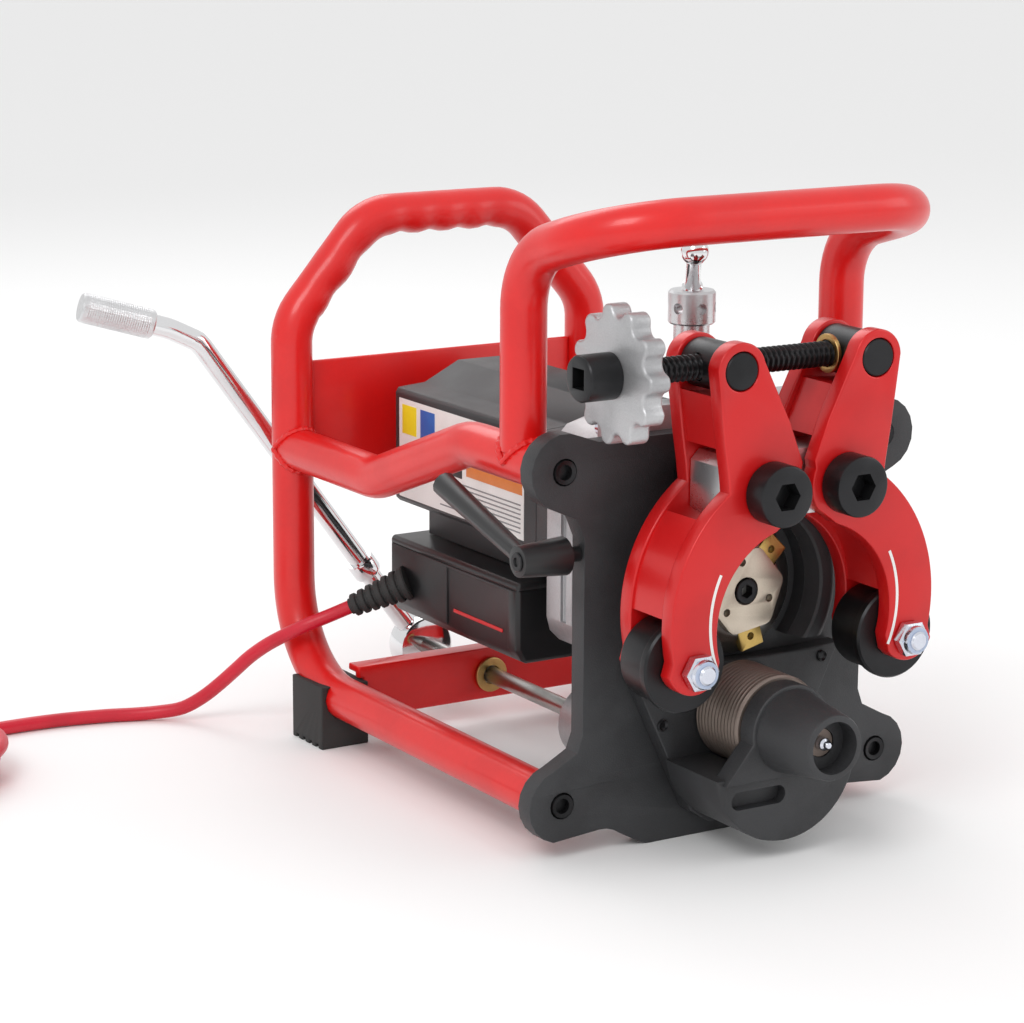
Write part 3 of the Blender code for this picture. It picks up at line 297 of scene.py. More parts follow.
FINISHES: dict[str, Finish] = {
    "frame_red": Finish("red_paint", (0.70, 0.006, 0.005), (0.62, 0.005, 0.005), 0.34, coat=0.2,
                        gloss_spread=0.06, grain_scale=260, grain_depth=0.000015),
    "arm_red": Finish("red_arm_paint", (0.60, 0.005, 0.006), (0.50, 0.004, 0.005), 0.36, metallic=0.15,
                      coat=0.15, grain_scale=1400, grain_depth=0.00002),
    "cast_iron": Finish("dark_cast", (0.040, 0.041, 0.044), (0.026, 0.026, 0.028), 0.55, metallic=0.15,
                        grain_scale=1100, grain_depth=0.00022),
    "black_steel": Finish("black_steel", (0.030, 0.030, 0.032), (0.016, 0.016, 0.017), 0.36, metallic=0.75,
                          grain_scale=1500),
    "machined_steel": Finish("steel", (0.46, 0.45, 0.43), (0.33, 0.32, 0.30), 0.33, metallic=1.0,
                             grain_scale=1300),
    "roller_steel": Finish("steel", (0.25, 0.20, 0.175), (0.15, 0.12, 0.10), 0.48, metallic=0.7,
                           grain_scale=1600, grain_depth=0.0001),
    "aluminium": Finish("aluminium", (0.68, 0.68, 0.69), (0.55, 0.55, 0.56), 0.32, metallic=0.95,
                        grain_scale=1200, stretch=Mapping.ALONG_X),
    "cast_aluminium": Finish("cast_aluminium", (0.52, 0.52, 0.53), (0.36, 0.36, 0.37), 0.42, metallic=0.75,
                             grain_scale=800, grain_depth=0.00022),
    "chrome": Finish("chrome", (0.80, 0.80, 0.81), (0.72, 0.72, 0.73), 0.10, metallic=1.0,
                     gloss_spread=0.06, grain_depth=0.00001),
    "grip_chrome": Finish("aluminium", (0.72, 0.72, 0.73), (0.60, 0.60, 0.61), 0.28, metallic=0.95,
                          grain_scale=1700, grain_depth=0.0002),
    "zinc": Finish("zinc", (0.72, 0.75, 0.82), (0.58, 0.60, 0.68), 0.22, metallic=1.0),
    "nylon_blue": Finish("zinc", (0.45, 0.52, 0.66), (0.35, 0.42, 0.56), 0.4),
    "bronze": Finish("brass", (0.66, 0.45, 0.18), (0.50, 0.32, 0.12), 0.32, metallic=1.0),
    "carbide": Finish("carbide", (0.62, 0.43, 0.14), (0.42, 0.28, 0.08), 0.33, metallic=0.9,
                      grain_scale=1500),
    "nickel": Finish("nickel", (0.66, 0.58, 0.48), (0.52, 0.45, 0.36), 0.36, metallic=0.85),
    "box_plastic": Finish("black_plastic", (0.010, 0.010, 0.011), (0.016, 0.016, 0.017), 0.40,
                          grain_scale=1300, grain_depth=0.00005),
    "hood_plastic": Finish("hood_plastic", (0.028, 0.028, 0.030), (0.038, 0.038, 0.040), 0.48,
                           grain_scale=1500, grain_depth=0.0002),
    "rubber": Finish("rubber", (0.020, 0.020, 0.020), (0.032, 0.031, 0.030), 0.72, grain_scale=900,
                     grain_depth=0.00015),
    "cord_jacket": Finish("cord_jacket", (0.62, 0.008, 0.030), (0.50, 0.006, 0.022), 0.42,
                          grain_scale=700),
    "label_white": Finish("hood_plastic", (0.82, 0.82, 0.80), (0.72, 0.72, 0.70), 0.42,
                          grain_depth=0.00001),
    "label_yellow": Finish("hood_plastic", (0.85, 0.68, 0.02), (0.78, 0.62, 0.02), 0.42, grain_depth=0.00001),
    "label_blue": Finish("hood_plastic", (0.02, 0.13, 0.45), (0.02, 0.10, 0.38), 0.42, grain_depth=0.00001),
    "label_grey": Finish("hood_plastic", (0.25, 0.25, 0.26), (0.20, 0.20, 0.21), 0.5, grain_depth=0.00001),
    "label_red": Finish("black_plastic", (0.62, 0.01, 0.012), (0.52, 0.01, 0.012), 0.4, grain_depth=0.00001),
    "label_orange": Finish("hood_plastic", (0.72, 0.22, 0.035), (0.62, 0.18, 0.03), 0.42,
                           grain_depth=0.00001),
}


# ------------------------------------------------------------------ shapes


def arc(centre: Point2, radius: float, start: float, end: float, steps: int) -> list[Point2]:
    """Points on a flat arc.

    Args:
        centre: The arc's centre.
        radius: Its radius.
        start: Where it starts, in degrees.
        end: Where it ends, in degrees.
        steps: How many chords it has.

    Returns:
        The points, both ends among them.
    """
    turns = [math.radians(start + (end - start) * i / steps) for i in range(steps + 1)]
    return [(centre[0] + radius * math.cos(t), centre[1] + radius * math.sin(t)) for t in turns]


def ring(centre: Point2, radius: float, steps: int = 40) -> list[Point2]:
    """Points around a full circle, the first not repeated."""
    return arc(centre, radius, 0, 360, steps)[:-1]


def bent(corners: Sequence[tuple[Iterable[float], float]], steps: int = 14) -> list[Vector]:
    """A path whose corners are rounded.

    Args:
        corners: Each corner's place and bend radius, which is 0 at both ends of the path.
        steps: How many chords a bend has.

    Returns:
        The path's points.
    """
    path: list[Vector] = []
    for index, (place, radius) in enumerate(corners):
        corner = Vector(place)
        if radius == 0:
            path.append(corner)
            continue
        back = (Vector(corners[index - 1][0]) - corner).normalized()
        onward = (Vector(corners[index + 1][0]) - corner).normalized()
        half = back.angle(onward) / 2
        reach, sweep = radius / math.tan(half), math.pi - 2 * half
        centre = corner + (back + onward).normalized() * (radius / math.sin(half))
        first, last = corner + back * reach - centre, corner + onward * reach - centre
        for i in range(steps + 1):
            t = i / steps
            swung = first * math.sin((1 - t) * sweep) + last * math.sin(t * sweep)
            path.append(centre + swung / math.sin(sweep))
    return path


def evenly(path: Sequence[Vector], spacing: float) -> list[Vector]:
    """The same path with evenly spaced points.

    Args:
        path: The path's points.
        spacing: About how far apart the new points are.

    Returns:
        The new points, both ends kept.
    """
    total = sum((b - a).length for a, b in zip(path, path[1:]))
    count = max(2, round(total / spacing))
    route, walked = [path[0].copy()], 0.0
    for a, b in zip(path, path[1:]):
        length = (b - a).length
        while len(route) < count and walked + length >= total * len(route) / count:
            route.append(a.lerp(b, (total * len(route) / count - walked) / length))
        walked += length
    return [*route, path[-1].copy()]


def smooth_route(points: Sequence[Iterable[float]], spacing: float) -> list[Vector]:
    """Evenly spaced points on a smooth curve through the given ones.

    Args:
        points: The places that the curve goes through.
        spacing: About how far apart the new points are.

    Returns:
        The points of the curve.
    """
    places = [Vector(p) for p in points]
    fine: list[Vector] = []
    for i in range(len(places) - 1):
        a, b = places[i], places[i + 1]
        before, after = places[max(i - 1, 0)], places[min(i + 2, len(places) - 1)]
        for k in range(24):
            t = k / 24
            bend = (2 * before - 5 * a + 4 * b - after) * t * t + (3 * a - before - 3 * b + after) * t ** 3
            fine.append((2 * a + (b - before) * t + bend) / 2)
    return evenly([*fine, places[-1]], spacing)


def shade(obj: bpy.types.Object, angle: float = 32.0) -> bpy.types.Object:
    """Smooth shading, with edges sharper than the angle left crisp."""
    obj.data.shade_smooth()
    obj.data.set_sharp_from_angle(angle=math.radians(angle))
    return obj


def new_object(name: str, data: bpy.types.ID) -> bpy.types.Object:
    """Adds an object with this data to the scene."""
    made = bpy.data.objects.new(name, data)
    bpy.context.scene.collection.objects.link(made)
    return made


def from_bmesh(name: str, shape: bmesh.types.BMesh) -> bpy.types.Object:
    """Turns a bmesh into a shaded object."""
    mesh = bpy.data.meshes.new(name)
    bmesh.ops.recalc_face_normals(shape, faces=shape.faces)
    shape.to_mesh(mesh)
    shape.free()
    return shade(new_object(name, mesh))


def settled(obj: bpy.types.Object) -> bpy.types.Object:
    """The object as a plain mesh, with its modifiers and place worked in.

    Args:
        obj: A mesh or a curve object.

    Returns:
        A new mesh object with the same name.
    """
    bpy.context.view_layer.update()
    graph = bpy.context.evaluated_depsgraph_get()
    mesh = bpy.data.meshes.new_from_object(obj.evaluated_get(graph))
    mesh.transform(obj.matrix_world)
    name = obj.name
    bpy.data.objects.remove(obj, do_unlink=True)
    made = new_object(name, mesh)
    shape = bmesh.new()
    shape.from_mesh(mesh)
    bmesh.ops.remove_doubles(shape, verts=shape.verts, dist=0.000002)
    shape.to_mesh(mesh)
    shape.free()
    return shade(made)


def sweep(
    name: str, path: Sequence[Vector], radius: float | Sequence[float], sides: int = 32
) -> bpy.types.Object:
    """A round tube along a path.

    Args:
        name: The object's name.
        path: The points of its centreline.
        radius: One radius, or one for each point.
        sides: How many faces go round it.

    Returns:
        The tube as a mesh.
    """
    radii = [radius] * len(path) if isinstance(radius, (int, float)) else list(radius)
    largest = max(radii)
    curve = bpy.data.curves.new(name, "CURVE")
    curve.dimensions = "3D"
    curve.bevel_depth = largest
    curve.bevel_resolution = sides // 2 - 2
    curve.use_fill_caps = True
    spline = curve.splines.new("POLY")
    spline.points.add(len(path) - 1)
    for point, place, size in zip(spline.points, path, radii):
        point.co = (*place, 1)
        point.radius = size / largest
    return settled(new_object(name, curve))


def slab(
    name: str, loops: Sequence[Sequence[Point2]], front: float, back: float, soft: float = 0.0
) -> bpy.types.Object:
    """A flat outline with rounded edges, that stands across Y.

    Args:
        name: The object's name.
        loops: The outline's (x, z) points, and those of each hole.
        front: Y of its front face, from the plate's front face.
        back: Y of its back face.
        soft: The radius of its edges.

    Returns:
        The slab as a mesh.
    """
    curve = bpy.data.curves.new(name, "CURVE")
    curve.dimensions = "2D"
    curve.fill_mode = "BOTH"
    curve.extrude = (back - front) / 2 - soft
    curve.bevel_depth = soft
    curve.bevel_resolution = 2
    curve.offset = -soft
    for loop in loops:
        spline = curve.splines.new("POLY")
        spline.points.add(len(loop) - 1)
        for point, (across, up) in zip(spline.points, loop):
            point.co = (across, up, 0, 1)
        spline.use_cyclic_u = True
    made = new_object(name, curve)
    made.location = at(0, (front + back) / 2, 0)
    made.rotation_euler = (QUARTER, 0, 0)
    return settled(made)


def lathe(
    name: str,
    profile: Sequence[Point2],
    place: Vector,
    way: Vector,
    steps: int = 64,
    wave: Callable[[float, float], float] | None = None,
) -> bpy.types.Object:
    """A turned piece.

    Args:
        name: The object's name.
        profile: (radius, distance along the axis) points, in order from one end.
        place: Where the axis starts.
        way: The axis's direction.
        steps: How many faces go round it.
        wave: What to add to a radius, from the angle and the distance along.

    Returns:
        The turned mesh, closed at both ends.
    """
    turn = Vector(way).to_track_quat("Z", "Y").to_matrix()
    shape = bmesh.new()
    rows = []
    for radius, along in profile:
        row = []
        for i in range(steps):
            angle = 2 * math.pi * i / steps
            size = radius + (wave(angle, along) if wave else 0.0)
            spot = Vector((size * math.cos(angle), size * math.sin(angle), along))
            row.append(shape.verts.new(place + turn @ spot))
        rows.append(row)
    for low, high in zip(rows, rows[1:]):
        for i in range(steps):
            shape.faces.new((low[i], low[(i + 1) % steps], high[(i + 1) % steps], high[i]))
    shape.faces.new(rows[0])
    shape.faces.new(rows[-1])
    return from_bmesh(name, shape)


def both_ends(half: Sequence[Point2]) -> list[Point2]:
    """A turned outline from one end to the middle, followed by its mirror image."""
    return [*half, *((radius, -along) for radius, along in reversed(half))]


def cuboid(name: str, low: Vector, high: Vector, soft: float = 0.0) -> bpy.types.Object:
    """A block between two corners, with edges rounded to the given radius."""
    shape = bmesh.new()
    bmesh.ops.create_cube(shape, size=1)
    size = high - low
    matrix = Matrix.Translation((low + high) / 2) @ Matrix.Diagonal((*size, 1))
    bmesh.ops.transform(shape, matrix=matrix, verts=shape.verts)
    if soft:
        bmesh.ops.bevel(shape, geom=shape.edges[:], offset=soft, segments=3, affect="EDGES", profile=0.5)
    return from_bmesh(name, shape)


def carve(target: bpy.types.Object, *cutters: bpy.types.Object, join: bool = False) -> bpy.types.Object:
    """Cuts the cutters from the target, or joins them to it, and removes them.

    Args:
        target: The piece to change.
        cutters: The other shapes.
        join: True to join them.

    Returns:
        The changed piece.
    """
    for cutter in cutters:
        step = target.modifiers.new("carve", "BOOLEAN")
        step.operation = "UNION" if join else "DIFFERENCE"
        step.object = cutter
        step.solver = "EXACT"
    made = settled(target)
    for cutter in cutters:
        bpy.data.objects.remove(cutter, do_unlink=True)
    return made


def merged(name: str, pieces: Sequence[bpy.types.Object]) -> bpy.types.Object:
    """Several meshes as one object, materials kept."""
    target = pieces[0]
    with bpy.context.temp_override(active_object=target, selected_editable_objects=list(pieces)):
        bpy.ops.object.join()
    target.name = name
    return target


def softened(node: str, width: float) -> bpy.types.Object:
    """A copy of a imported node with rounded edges.

    Args:
        node: The node's name.
        width: How wide the rounding is.

    Returns:
        The copy, at the node's place.
    """
    source = bpy.data.objects[node]
    shape = bmesh.new()
    shape.from_mesh(source.data)
    bmesh.ops.remove_doubles(shape, verts=shape.verts, dist=0.000005)
    bmesh.ops.dissolve_limit(shape, angle_limit=math.radians(1), verts=shape.verts, edges=shape.edges)
    mesh = bpy.data.meshes.new(node + "_finished")
    shape.to_mesh(mesh)
    shape.free()
    made = new_object(node + "_finished", mesh)
    step = made.modifiers.new("edges", "BEVEL")
    step.width = width
    step.segments = EDGE_SEGMENTS
    step.limit_method = "ANGLE"
    step.angle_limit = EDGE_ANGLE
    step.use_clamp_overlap = True
    return settled(made)


# ------------------------------------------------------------------ machine


@dataclass
class Workshop:
    """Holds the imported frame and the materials, and signs off each piece."""

    frame: dict
    effects: Effects = field(default_factory=Effects)
    materials: dict[str, bpy.types.Material] = field(default_factory=dict)

    def __post_init__(self) -> None:
        """Makes a material for each finish."""
        for name, finish in FINISHES.items():
            self.materials[name] = finish.material(name, self.effects)

    def paint(self, obj: bpy.types.Object, finish: str) -> bpy.types.Object:
        """Gives an object one finish in place of all it had."""
        obj.data.materials.clear()
        obj.data.materials.append(self.materials[finish])
        return obj

    def fit(self, obj: bpy.types.Object, finish: str, body: str, *nodes: str) -> bpy.types.Object:
        """Paints a piece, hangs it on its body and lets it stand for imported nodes.

        Args:
            obj: The finished piece.
            finish: A name in FINISHES.
            body: The body that it moves with.
            nodes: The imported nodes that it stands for.

        Returns:
            The piece.
        """
        self.paint(obj, finish)
        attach(obj, body)
        if nodes:
            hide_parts(*nodes)
        log.info("%s on %s", obj.name, body)
        return obj

    def refine(self, node: str, finish: str, body: str, width: float) -> None:
        """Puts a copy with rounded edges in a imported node's place.

        Args:
            node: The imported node.
            finish: A name in FINISHES.
            body: The body that it moves with.
            width: How wide the rounding is.
        """
        self.fit(softened(node, width), finish, body, node)

    def dress(self, finish: str, *nodes: str) -> None:
        """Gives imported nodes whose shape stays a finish."""
        for node in nodes:
            self.paint(self.frame["nodes"][node], finish)


@dataclass
class PowerCord:
    """The red mains cord, its coil and the plug.

    The coil's turns lie a track apart, inside the outer radius, and the lowest ones
    have their centre at the height called lying.
    """

    radius: float = 0.005
    coil_centre: Vector = field(default_factory=lambda: at(-0.425, 0.370, 0))
    track: float = 0.0101
    outer: float = 0.0650
    relief_way: Vector = field(default_factory=lambda: Vector((-0.72, 0.55, -0.42)).normalized())
    relief_start: Vector = field(default_factory=lambda: at(-0.075, 0.2865, 0.1160))
    relief_length: float = 0.046
    lying: float = 0.0053

    def start(self) -> Vector:
        """Where the cord leaves its sleeve."""
        return self.relief_start + self.relief_way * (self.relief_length + 0.0003)

    def lead(self) -> list[Vector]:
        """The free stretch, from the sleeve to the coil."""
        start = self.start()
        middle = [
            (-0.142, 0.333, 0.0790),
            (-0.160, 0.360, 0.0590),
            (-0.177, 0.388, 0.0300),
            (-0.195, 0.407, 0.0110),
            (-0.219, 0.423, 0.0056),
            (-0.251, 0.434, 0.0053),
            (-0.290, 0.441, 0.0053),
            (-0.335, 0.441, 0.0053),
            (-0.380, 0.435, 0.0053),
        ]
        points = [start, start + self.relief_way * 0.015, *(at(*p) for p in middle)]
        return smooth_route(points, 0.006)

    def turns(self) -> list[Vector]:
        """The coil: in along the floor, out on top of that, and three quarters of a turn above."""
        steps = 40
        layer, climb, above = 2.0, 0.25, 0.75
        second = layer + climb
        third = 2 * second
        path = []
        for i in range(round((third + above) * steps) + 1):
            t = i / steps
            if t < second:
                radius, lift = self.outer - self.track * min(t, layer), max(0.0, t - layer) / climb
            elif t < third:
                radius = self.outer - self.track * (layer - min(t - second, layer))
                lift = 1.0 + max(0.0, t - second - layer) / climb
            else:
                radius, lift = self.outer, 2.0
            angle = QUARTER + 2 * math.pi * t
            height = self.lying + self.track * lift
            place = Vector((radius * math.cos(angle), radius * math.sin(angle), height))
            path.append(self.coil_centre + place)
        return path

    def build(self, shop: Workshop) -> None:
        """Args:
            shop: Where finishes and bodies come from.
        """
        turns = self.turns()
        last = turns[-1]
        tail = [
            last + Vector((0, -0.016, -0.0006)),
            last + Vector((0, -0.032, -0.0035)),
            at(-0.490, 0.3215, 0.0190),
        ]
        line = smooth_route([*self.lead()[::3], *turns[1::2], *tail], 0.004)
        cord = sweep("mains_cord", line, self.radius, 16)
        shop.paint(cord, "cord_jacket")
        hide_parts("power_cord", "cord_coil")
        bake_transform(cord)
        shop.dress("rubber", "mains_plug")
        self.sleeve(shop)

    def sleeve(self, shop: Workshop) -> None:
        """The ribbed, tapered sleeve at the switch box.

        Args:
            shop: Where finishes and bodies come from.
        """
        ribs, foot, taper = 7, 0.0126, 0.0050
        edge, groove = 0.0006, 0.0024
        pitch = self.relief_length / ribs
        profile: list[Point2] = [(0.0125, -0.0005)]
        for i in range(ribs):
            low, size = pitch * i, foot - taper * i / ribs
            profile += [(size - edge, low), (size, low + 0.0007), (size, low + 0.55 * pitch),
                        (size - edge, low + 0.63 * pitch), (size - groove, low + 0.66 * pitch),
                        (size - groove, low + 0.98 * pitch)]
        sleeve = lathe("cord_sleeve", profile, self.relief_start, self.relief_way, 40)
        side = cuboid("sleeve_side", at(-0.0748, 0.25, 0.09), at(-0.05, 0.32, 0.14))
        shop.fit(carve(sleeve, side), "rubber", "motor_unit", "strain_relief")


@dataclass
class TubeFrame:
    """The welded frame of red tube.

    Tubes meet the plate at the Y called seat, and the handle stands at handle_foot.
    """

    radius: float = 0.015
    half: float = 0.125
    seat: float = 0.0143
    handle_foot: float = 0.050
    low: float = 0.036
    rail: float = 0.252
    rail_rear: float = 0.206
    rear: float = 0.367
    top: float = 0.370
    grip_wave: float = 0.0022

    def build(self, shop: Workshop) -> None:
        """Makes the tubes, their welds, the cross plates and the feet."""
        shop.fit(self.hoop(), "frame_red", "frame", "rear_hoop")
        for word, side in SIDES:
            shop.fit(self.side_rail(word, side), "frame_red", "frame", f"{word}_rail")
            shop.refine(f"{word}_foot", "rubber", "frame", 0.0012)
        shop.fit(self.handle(), "frame_red", "frame", "front_handle")
        for node in ("rear_cross_plate", "lower_cross_plate"):
            shop.refine(node, "frame_red", "frame", 0.0012)
        shop.refine("shaft_bush", "bronze", "frame", 0.0006)

    def hoop(self) -> bpy.types.Object:
        """The rear hoop, with finger waves on its top bar and left slope."""
        x, y = self.half, self.rear
        path = evenly(
            bent([
                (at(-x, self.seat, self.low), 0), (at(-x, y, self.low), 0.075), (at(-x, y, 0.297), 0.040),
                (at(-0.062, y, self.top), 0.040), (at(0.062, y, self.top), 0.040), (at(x, y, 0.297), 0.040),
                (at(x, y, self.low), 0.075), (at(x, self.seat, self.low), 0),
            ]),
            0.005,
        )
        middle = at(0, y, 0.27)
        places, radii = [], []
        for point in path:
            depth = 0.0
            on_bar = abs(point.x) < 0.048 and point.z > 0.36
            on_slope = point.x < -0.07 and point.z > 0.305
            if on_bar or on_slope:
                run = point.x if on_bar else point.z
                depth = self.grip_wave * (0.5 - 0.5 * math.cos(2 * math.pi * run / 0.024))
            out = (point - middle).normalized()
            places.append(point + out * depth / 2)
            radii.append(self.radius - depth / 2)
        return sweep("rear_hoop_tube", places, radii, 32)

    def side_rail(self, word: str, side: int) -> bpy.types.Object:
        """An upper side tube with the weld at its rear end."""
        x = side * self.half
        rear = self.rear - self.radius + 0.010
        path = evenly(
            bent([
                (at(x, self.seat, self.rail), 0), (at(x, 0.115, self.rail), 0.05),
                (at(x, 0.240, self.rail_rear), 0.05), (at(x, rear, self.rail_rear), 0),
            ]),
            0.006,
        )
        return merged(f"{word}_rail_tube", [sweep("rail", path, self.radius), self.saddle_weld(x, True)])

    def handle(self) -> bpy.types.Object:
        """The front handle with the welds at its feet."""
        x, y = self.half, self.handle_foot
        foot = self.rail + self.radius - 0.008
        path = evenly(
            bent([
                (at(-x, y, foot), 0), (at(-x, y, 0.383), 0.045), (at(-x, -0.052, 0.412), 0.055),
                (at(x, -0.052, 0.412), 0.055), (at(x, y, 0.383), 0.045), (at(x, y, foot), 0),
            ]),
            0.005,
        )
        welds = [self.saddle_weld(side * x, False) for side in (-1, 1)]
        return merged("front_handle_tube", [sweep("handle", path, self.radius), *welds])

    def saddle_weld(self, x: float, rear: bool) -> bpy.types.Object:
        """A rippled weld bead where one tube meets another of its size.

        Args:
            x: The tubes' X.
            rear: True where a rail meets the hoop, False where the handle meets a rail.

        Returns:
            The bead.
        """
        path, radii = [], []
        r = self.radius + 0.0004
        for i in range(97):
            angle = 2 * math.pi * i / 96
            across, along = r * math.cos(angle), r * math.sin(angle)
            dip = math.sqrt(max(r * r - across * across, 0.0))
            if rear:
                path.append(at(x + across, self.rear - dip, self.rail_rear + along))
            else:
                path.append(at(x + across, self.handle_foot + along, self.rail + dip))
            radii.append(0.0021 + 0.0004 * math.sin(angle * 24))
        return sweep("weld", path, radii, 8)


@dataclass
class CastPlate:
    """The dark cast plate, the cutter's guard and the ear screws."""

    def build(self, shop: Workshop) -> None:
        """Finishes the castings and their screws."""
        shop.refine("front_plate", "cast_iron", "frame", 0.0016)
        shop.fit(self.guard(), "cast_iron", "frame", "cutter_guard")
        shop.refine("slide_guide", "black_steel", "frame", 0.0010)
        for row, z in (("lower", 0.036), ("upper", 0.253)):
            for word, side in SIDES:
                screw = lathe(
                    f"{row}_{word}_ear_screw",
                    [(0.0030, 0.0046), (0.0050, 0.0046), (0.0050, 0.0002), (0.0076, -0.0004),
                     (0.0080, 0.0008), (0.0080, 0.0068), (0.0050, 0.0070), (0.0050, 0.0134)],
                    at(side * 0.125, -0.0006, z), REARWARD, 40,
                )
                shop.fit(screw, "black_steel", "frame", f"{row}_{word}_bolt")

    @staticmethod
    def guard() -> bpy.types.Object:
        """The shroud around the cutter, open below."""
        centre = at(0, 0, CUTTER_AXIS[1])
        outside = lathe(
            "guard_ring",
            [(0.0540, 0.0003), (0.0700, 0.0003), (0.0700, 0.0215), (0.0690, 0.0240), (0.0665, 0.0256),
             (0.0650, 0.0260), (0.0580, 0.0260), (0.0565, 0.0245), (0.0540, 0.0120)],
            centre, FORWARD, 96,
        )
        bore = lathe(
            "guard_bore",
            [(0.0538, -0.01), (0.0538, 0.0120), (0.0563, 0.0245), (0.0578, 0.0262), (0.0578, 0.03)],
            centre, FORWARD, 96,
        )
        below = cuboid("guard_gap", at(-0.1, -0.05, 0.05), at(0.1, 0.01, 0.130))
        return carve(outside, bore, below)


@dataclass
class Clamp:
    """The two arms, their pivots and rollers, and the screw with its wheel."""

    front: float = -0.085
    plate: float = 0.012
    back: float = -0.027
    pivot: Point2 = (0.029, 0.246)
    pin: Point2 = (0.052, 0.323)
    roller: Point2 = (0.082, 0.139)
    screw_radius: float = 0.0082
    pitch: float = 0.004
    wheel_x: float = -0.129
    wheel_thick: float = 0.0155

    def build(self, shop: Workshop) -> None:
        """Makes both sides, the block between them, and the screw."""
        for word, side in SIDES:
            self.arm(shop, word, side)
            self.pivot_bolt(shop, word, side)
            self.trunnion(shop, word, side)
            self.clamp_roller(shop, word, side)
            self.lock_nut(shop, word, side)
            shop.refine(f"{word}_pivot_spacer", "black_steel", "frame", 0.0008)
        shop.refine("pivot_block", "aluminium", "frame", 0.0008)
        self.screw(shop)
        self.wheel(shop)
        shop.refine("thrust_collar", "bronze", "clamp_screw", 0.0005)

    def middle(self) -> float:
        """Y of the middle of the arms."""
        return (self.front + self.back) / 2

    def outline(self) -> list[Point2]:
        """The right arm's edge."""
        return (
            arc(self.pin, 0.0178, 5, 165, 20)
            + [(0.0148, 0.288), (0.0045, 0.262)]
            + arc(self.pivot, 0.0258, 155, 215, 8)
            + arc((0.004, 0.160), 0.063, 72, -16, 28)
            + arc((self.roller[0] + 0.001, self.roller[1] + 0.004), 0.0195, 215, 340, 18)
            + arc(CUTTER_AXIS, 0.101, -12, 54, 24)
            + [(0.0605, 0.258), (0.0640, 0.280)]
        )

    def arm(self, shop: Workshop, word: str, side: int) -> None:
        """An arm: two plates, the webs between them and the painted line."""
        def flip(points: Iterable[Point2]) -> list[Point2]:
            return [(side * x, z) for x, z in points]

        holes = (ring(self.pivot, 0.0103), ring(self.pin, 0.0123), ring(self.roller, 0.0066))
        loops = [flip(edge) for edge in (self.outline(), *holes)]
        webs = (
            arc(CUTTER_AXIS, 0.0992, 3, 41, 16) + arc(CUTTER_AXIS, 0.068, 41, 3, 12),
            [(0.0130, 0.275), (0.060, 0.2735), (0.0660, 0.307), (0.052, 0.3045), (0.028, 0.306)],
        )
        inner = (self.front + self.plate, self.back - self.plate)
        pieces = [
            slab("arm_front", loops, self.front, inner[0], 0.0011),
            slab("arm_back", loops, inner[1], self.back, 0.0011),
            *(slab("arm_web", [flip(web)], inner[0] - 0.001, inner[1] + 0.001) for web in webs),
        ]
        shop.fit(merged(f"{word}_clamp_arm", pieces), "arm_red", f"{word}_arm", f"{word}_arm")
        band = arc(CUTTER_AXIS, 0.0735, -24, 26, 20) + arc(CUTTER_AXIS, 0.0715, 26, -24, 20)
        line = slab(f"{word}_arm_line", [flip(band)], self.front - 0.0002, self.front + 0.0002)
        shop.fit(line, "label_white", f"{word}_arm")

    def pivot_bolt(self, shop: Workshop, word: str, side: int) -> None:
        """A shoulder bolt with a deep hexagon socket."""
        x, z = side * self.pivot[0], self.pivot[1]
        bolt = lathe(
            f"{word}_pivot_head",
            [(0.0080, 0.0120), (0.0080, -0.0003), (0.0100, -0.0003), (0.0100, self.front - 0.0003),
             (0.0188, self.front - 0.0003), (0.0195, self.front - 0.0012), (0.0195, self.front - 0.0162),
             (0.0190, self.front - 0.0174), (0.0178, self.front - 0.0180)],
            at(x, 0, z), REARWARD, 72,
        )
        socket = lathe(
            "pivot_socket", [(0.0095, 0.0), (0.0095, 0.014)], at(x, self.front - 0.021, z), REARWARD, 6
        )
        shop.fit(carve(bolt, socket), "black_steel", "frame", f"{word}_pivot_bolt")

    def trunnion(self, shop: Workshop, word: str, side: int) -> None:
        """The barrel in the eye of an arm."""
        half, end, chamfer = 0.0167, 0.0290, 0.0008
        spot = at(side * self.pin[0], self.middle(), self.pin[1])
        profile = both_ends([(0.0110, -end), (0.0118, -end + chamfer), (0.0120, -half), (0.0148, -half),
                             (0.0155, -half + chamfer)])
        barrel = lathe(f"{word}_barrel", profile, spot, REARWARD, 56)
        bore = lathe("barrel_bore", [(0.0088, -0.03), (0.0088, 0.03)], spot, RIGHTWARD, 32)
        shop.fit(carve(barrel, bore), "black_steel", f"{word}_trunnion", f"{word}_trunnion")

    def clamp_roller(self, shop: Workshop, word: str, side: int) -> None:
        """A smooth roller with a flange at its front."""
        y0 = self.front + self.plate + 0.0006
        roller = lathe(
            f"{word}_clamp_wheel",
            [(0.0067, 0.0328), (0.0250, 0.0328), (0.0270, 0.0318), (0.0275, 0.0300), (0.0275, 0.0070),
             (0.0298, 0.0062), (0.0300, 0.0050), (0.0300, 0.0014), (0.0288, 0.0), (0.0150, 0.0),
             (0.0150, 0.0006), (0.0067, 0.0006)],
            at(side * self.roller[0], y0, self.roller[1]), REARWARD, 72,
        )
        shop.fit(roller, "black_steel", f"{word}_roller", f"{word}_roller")

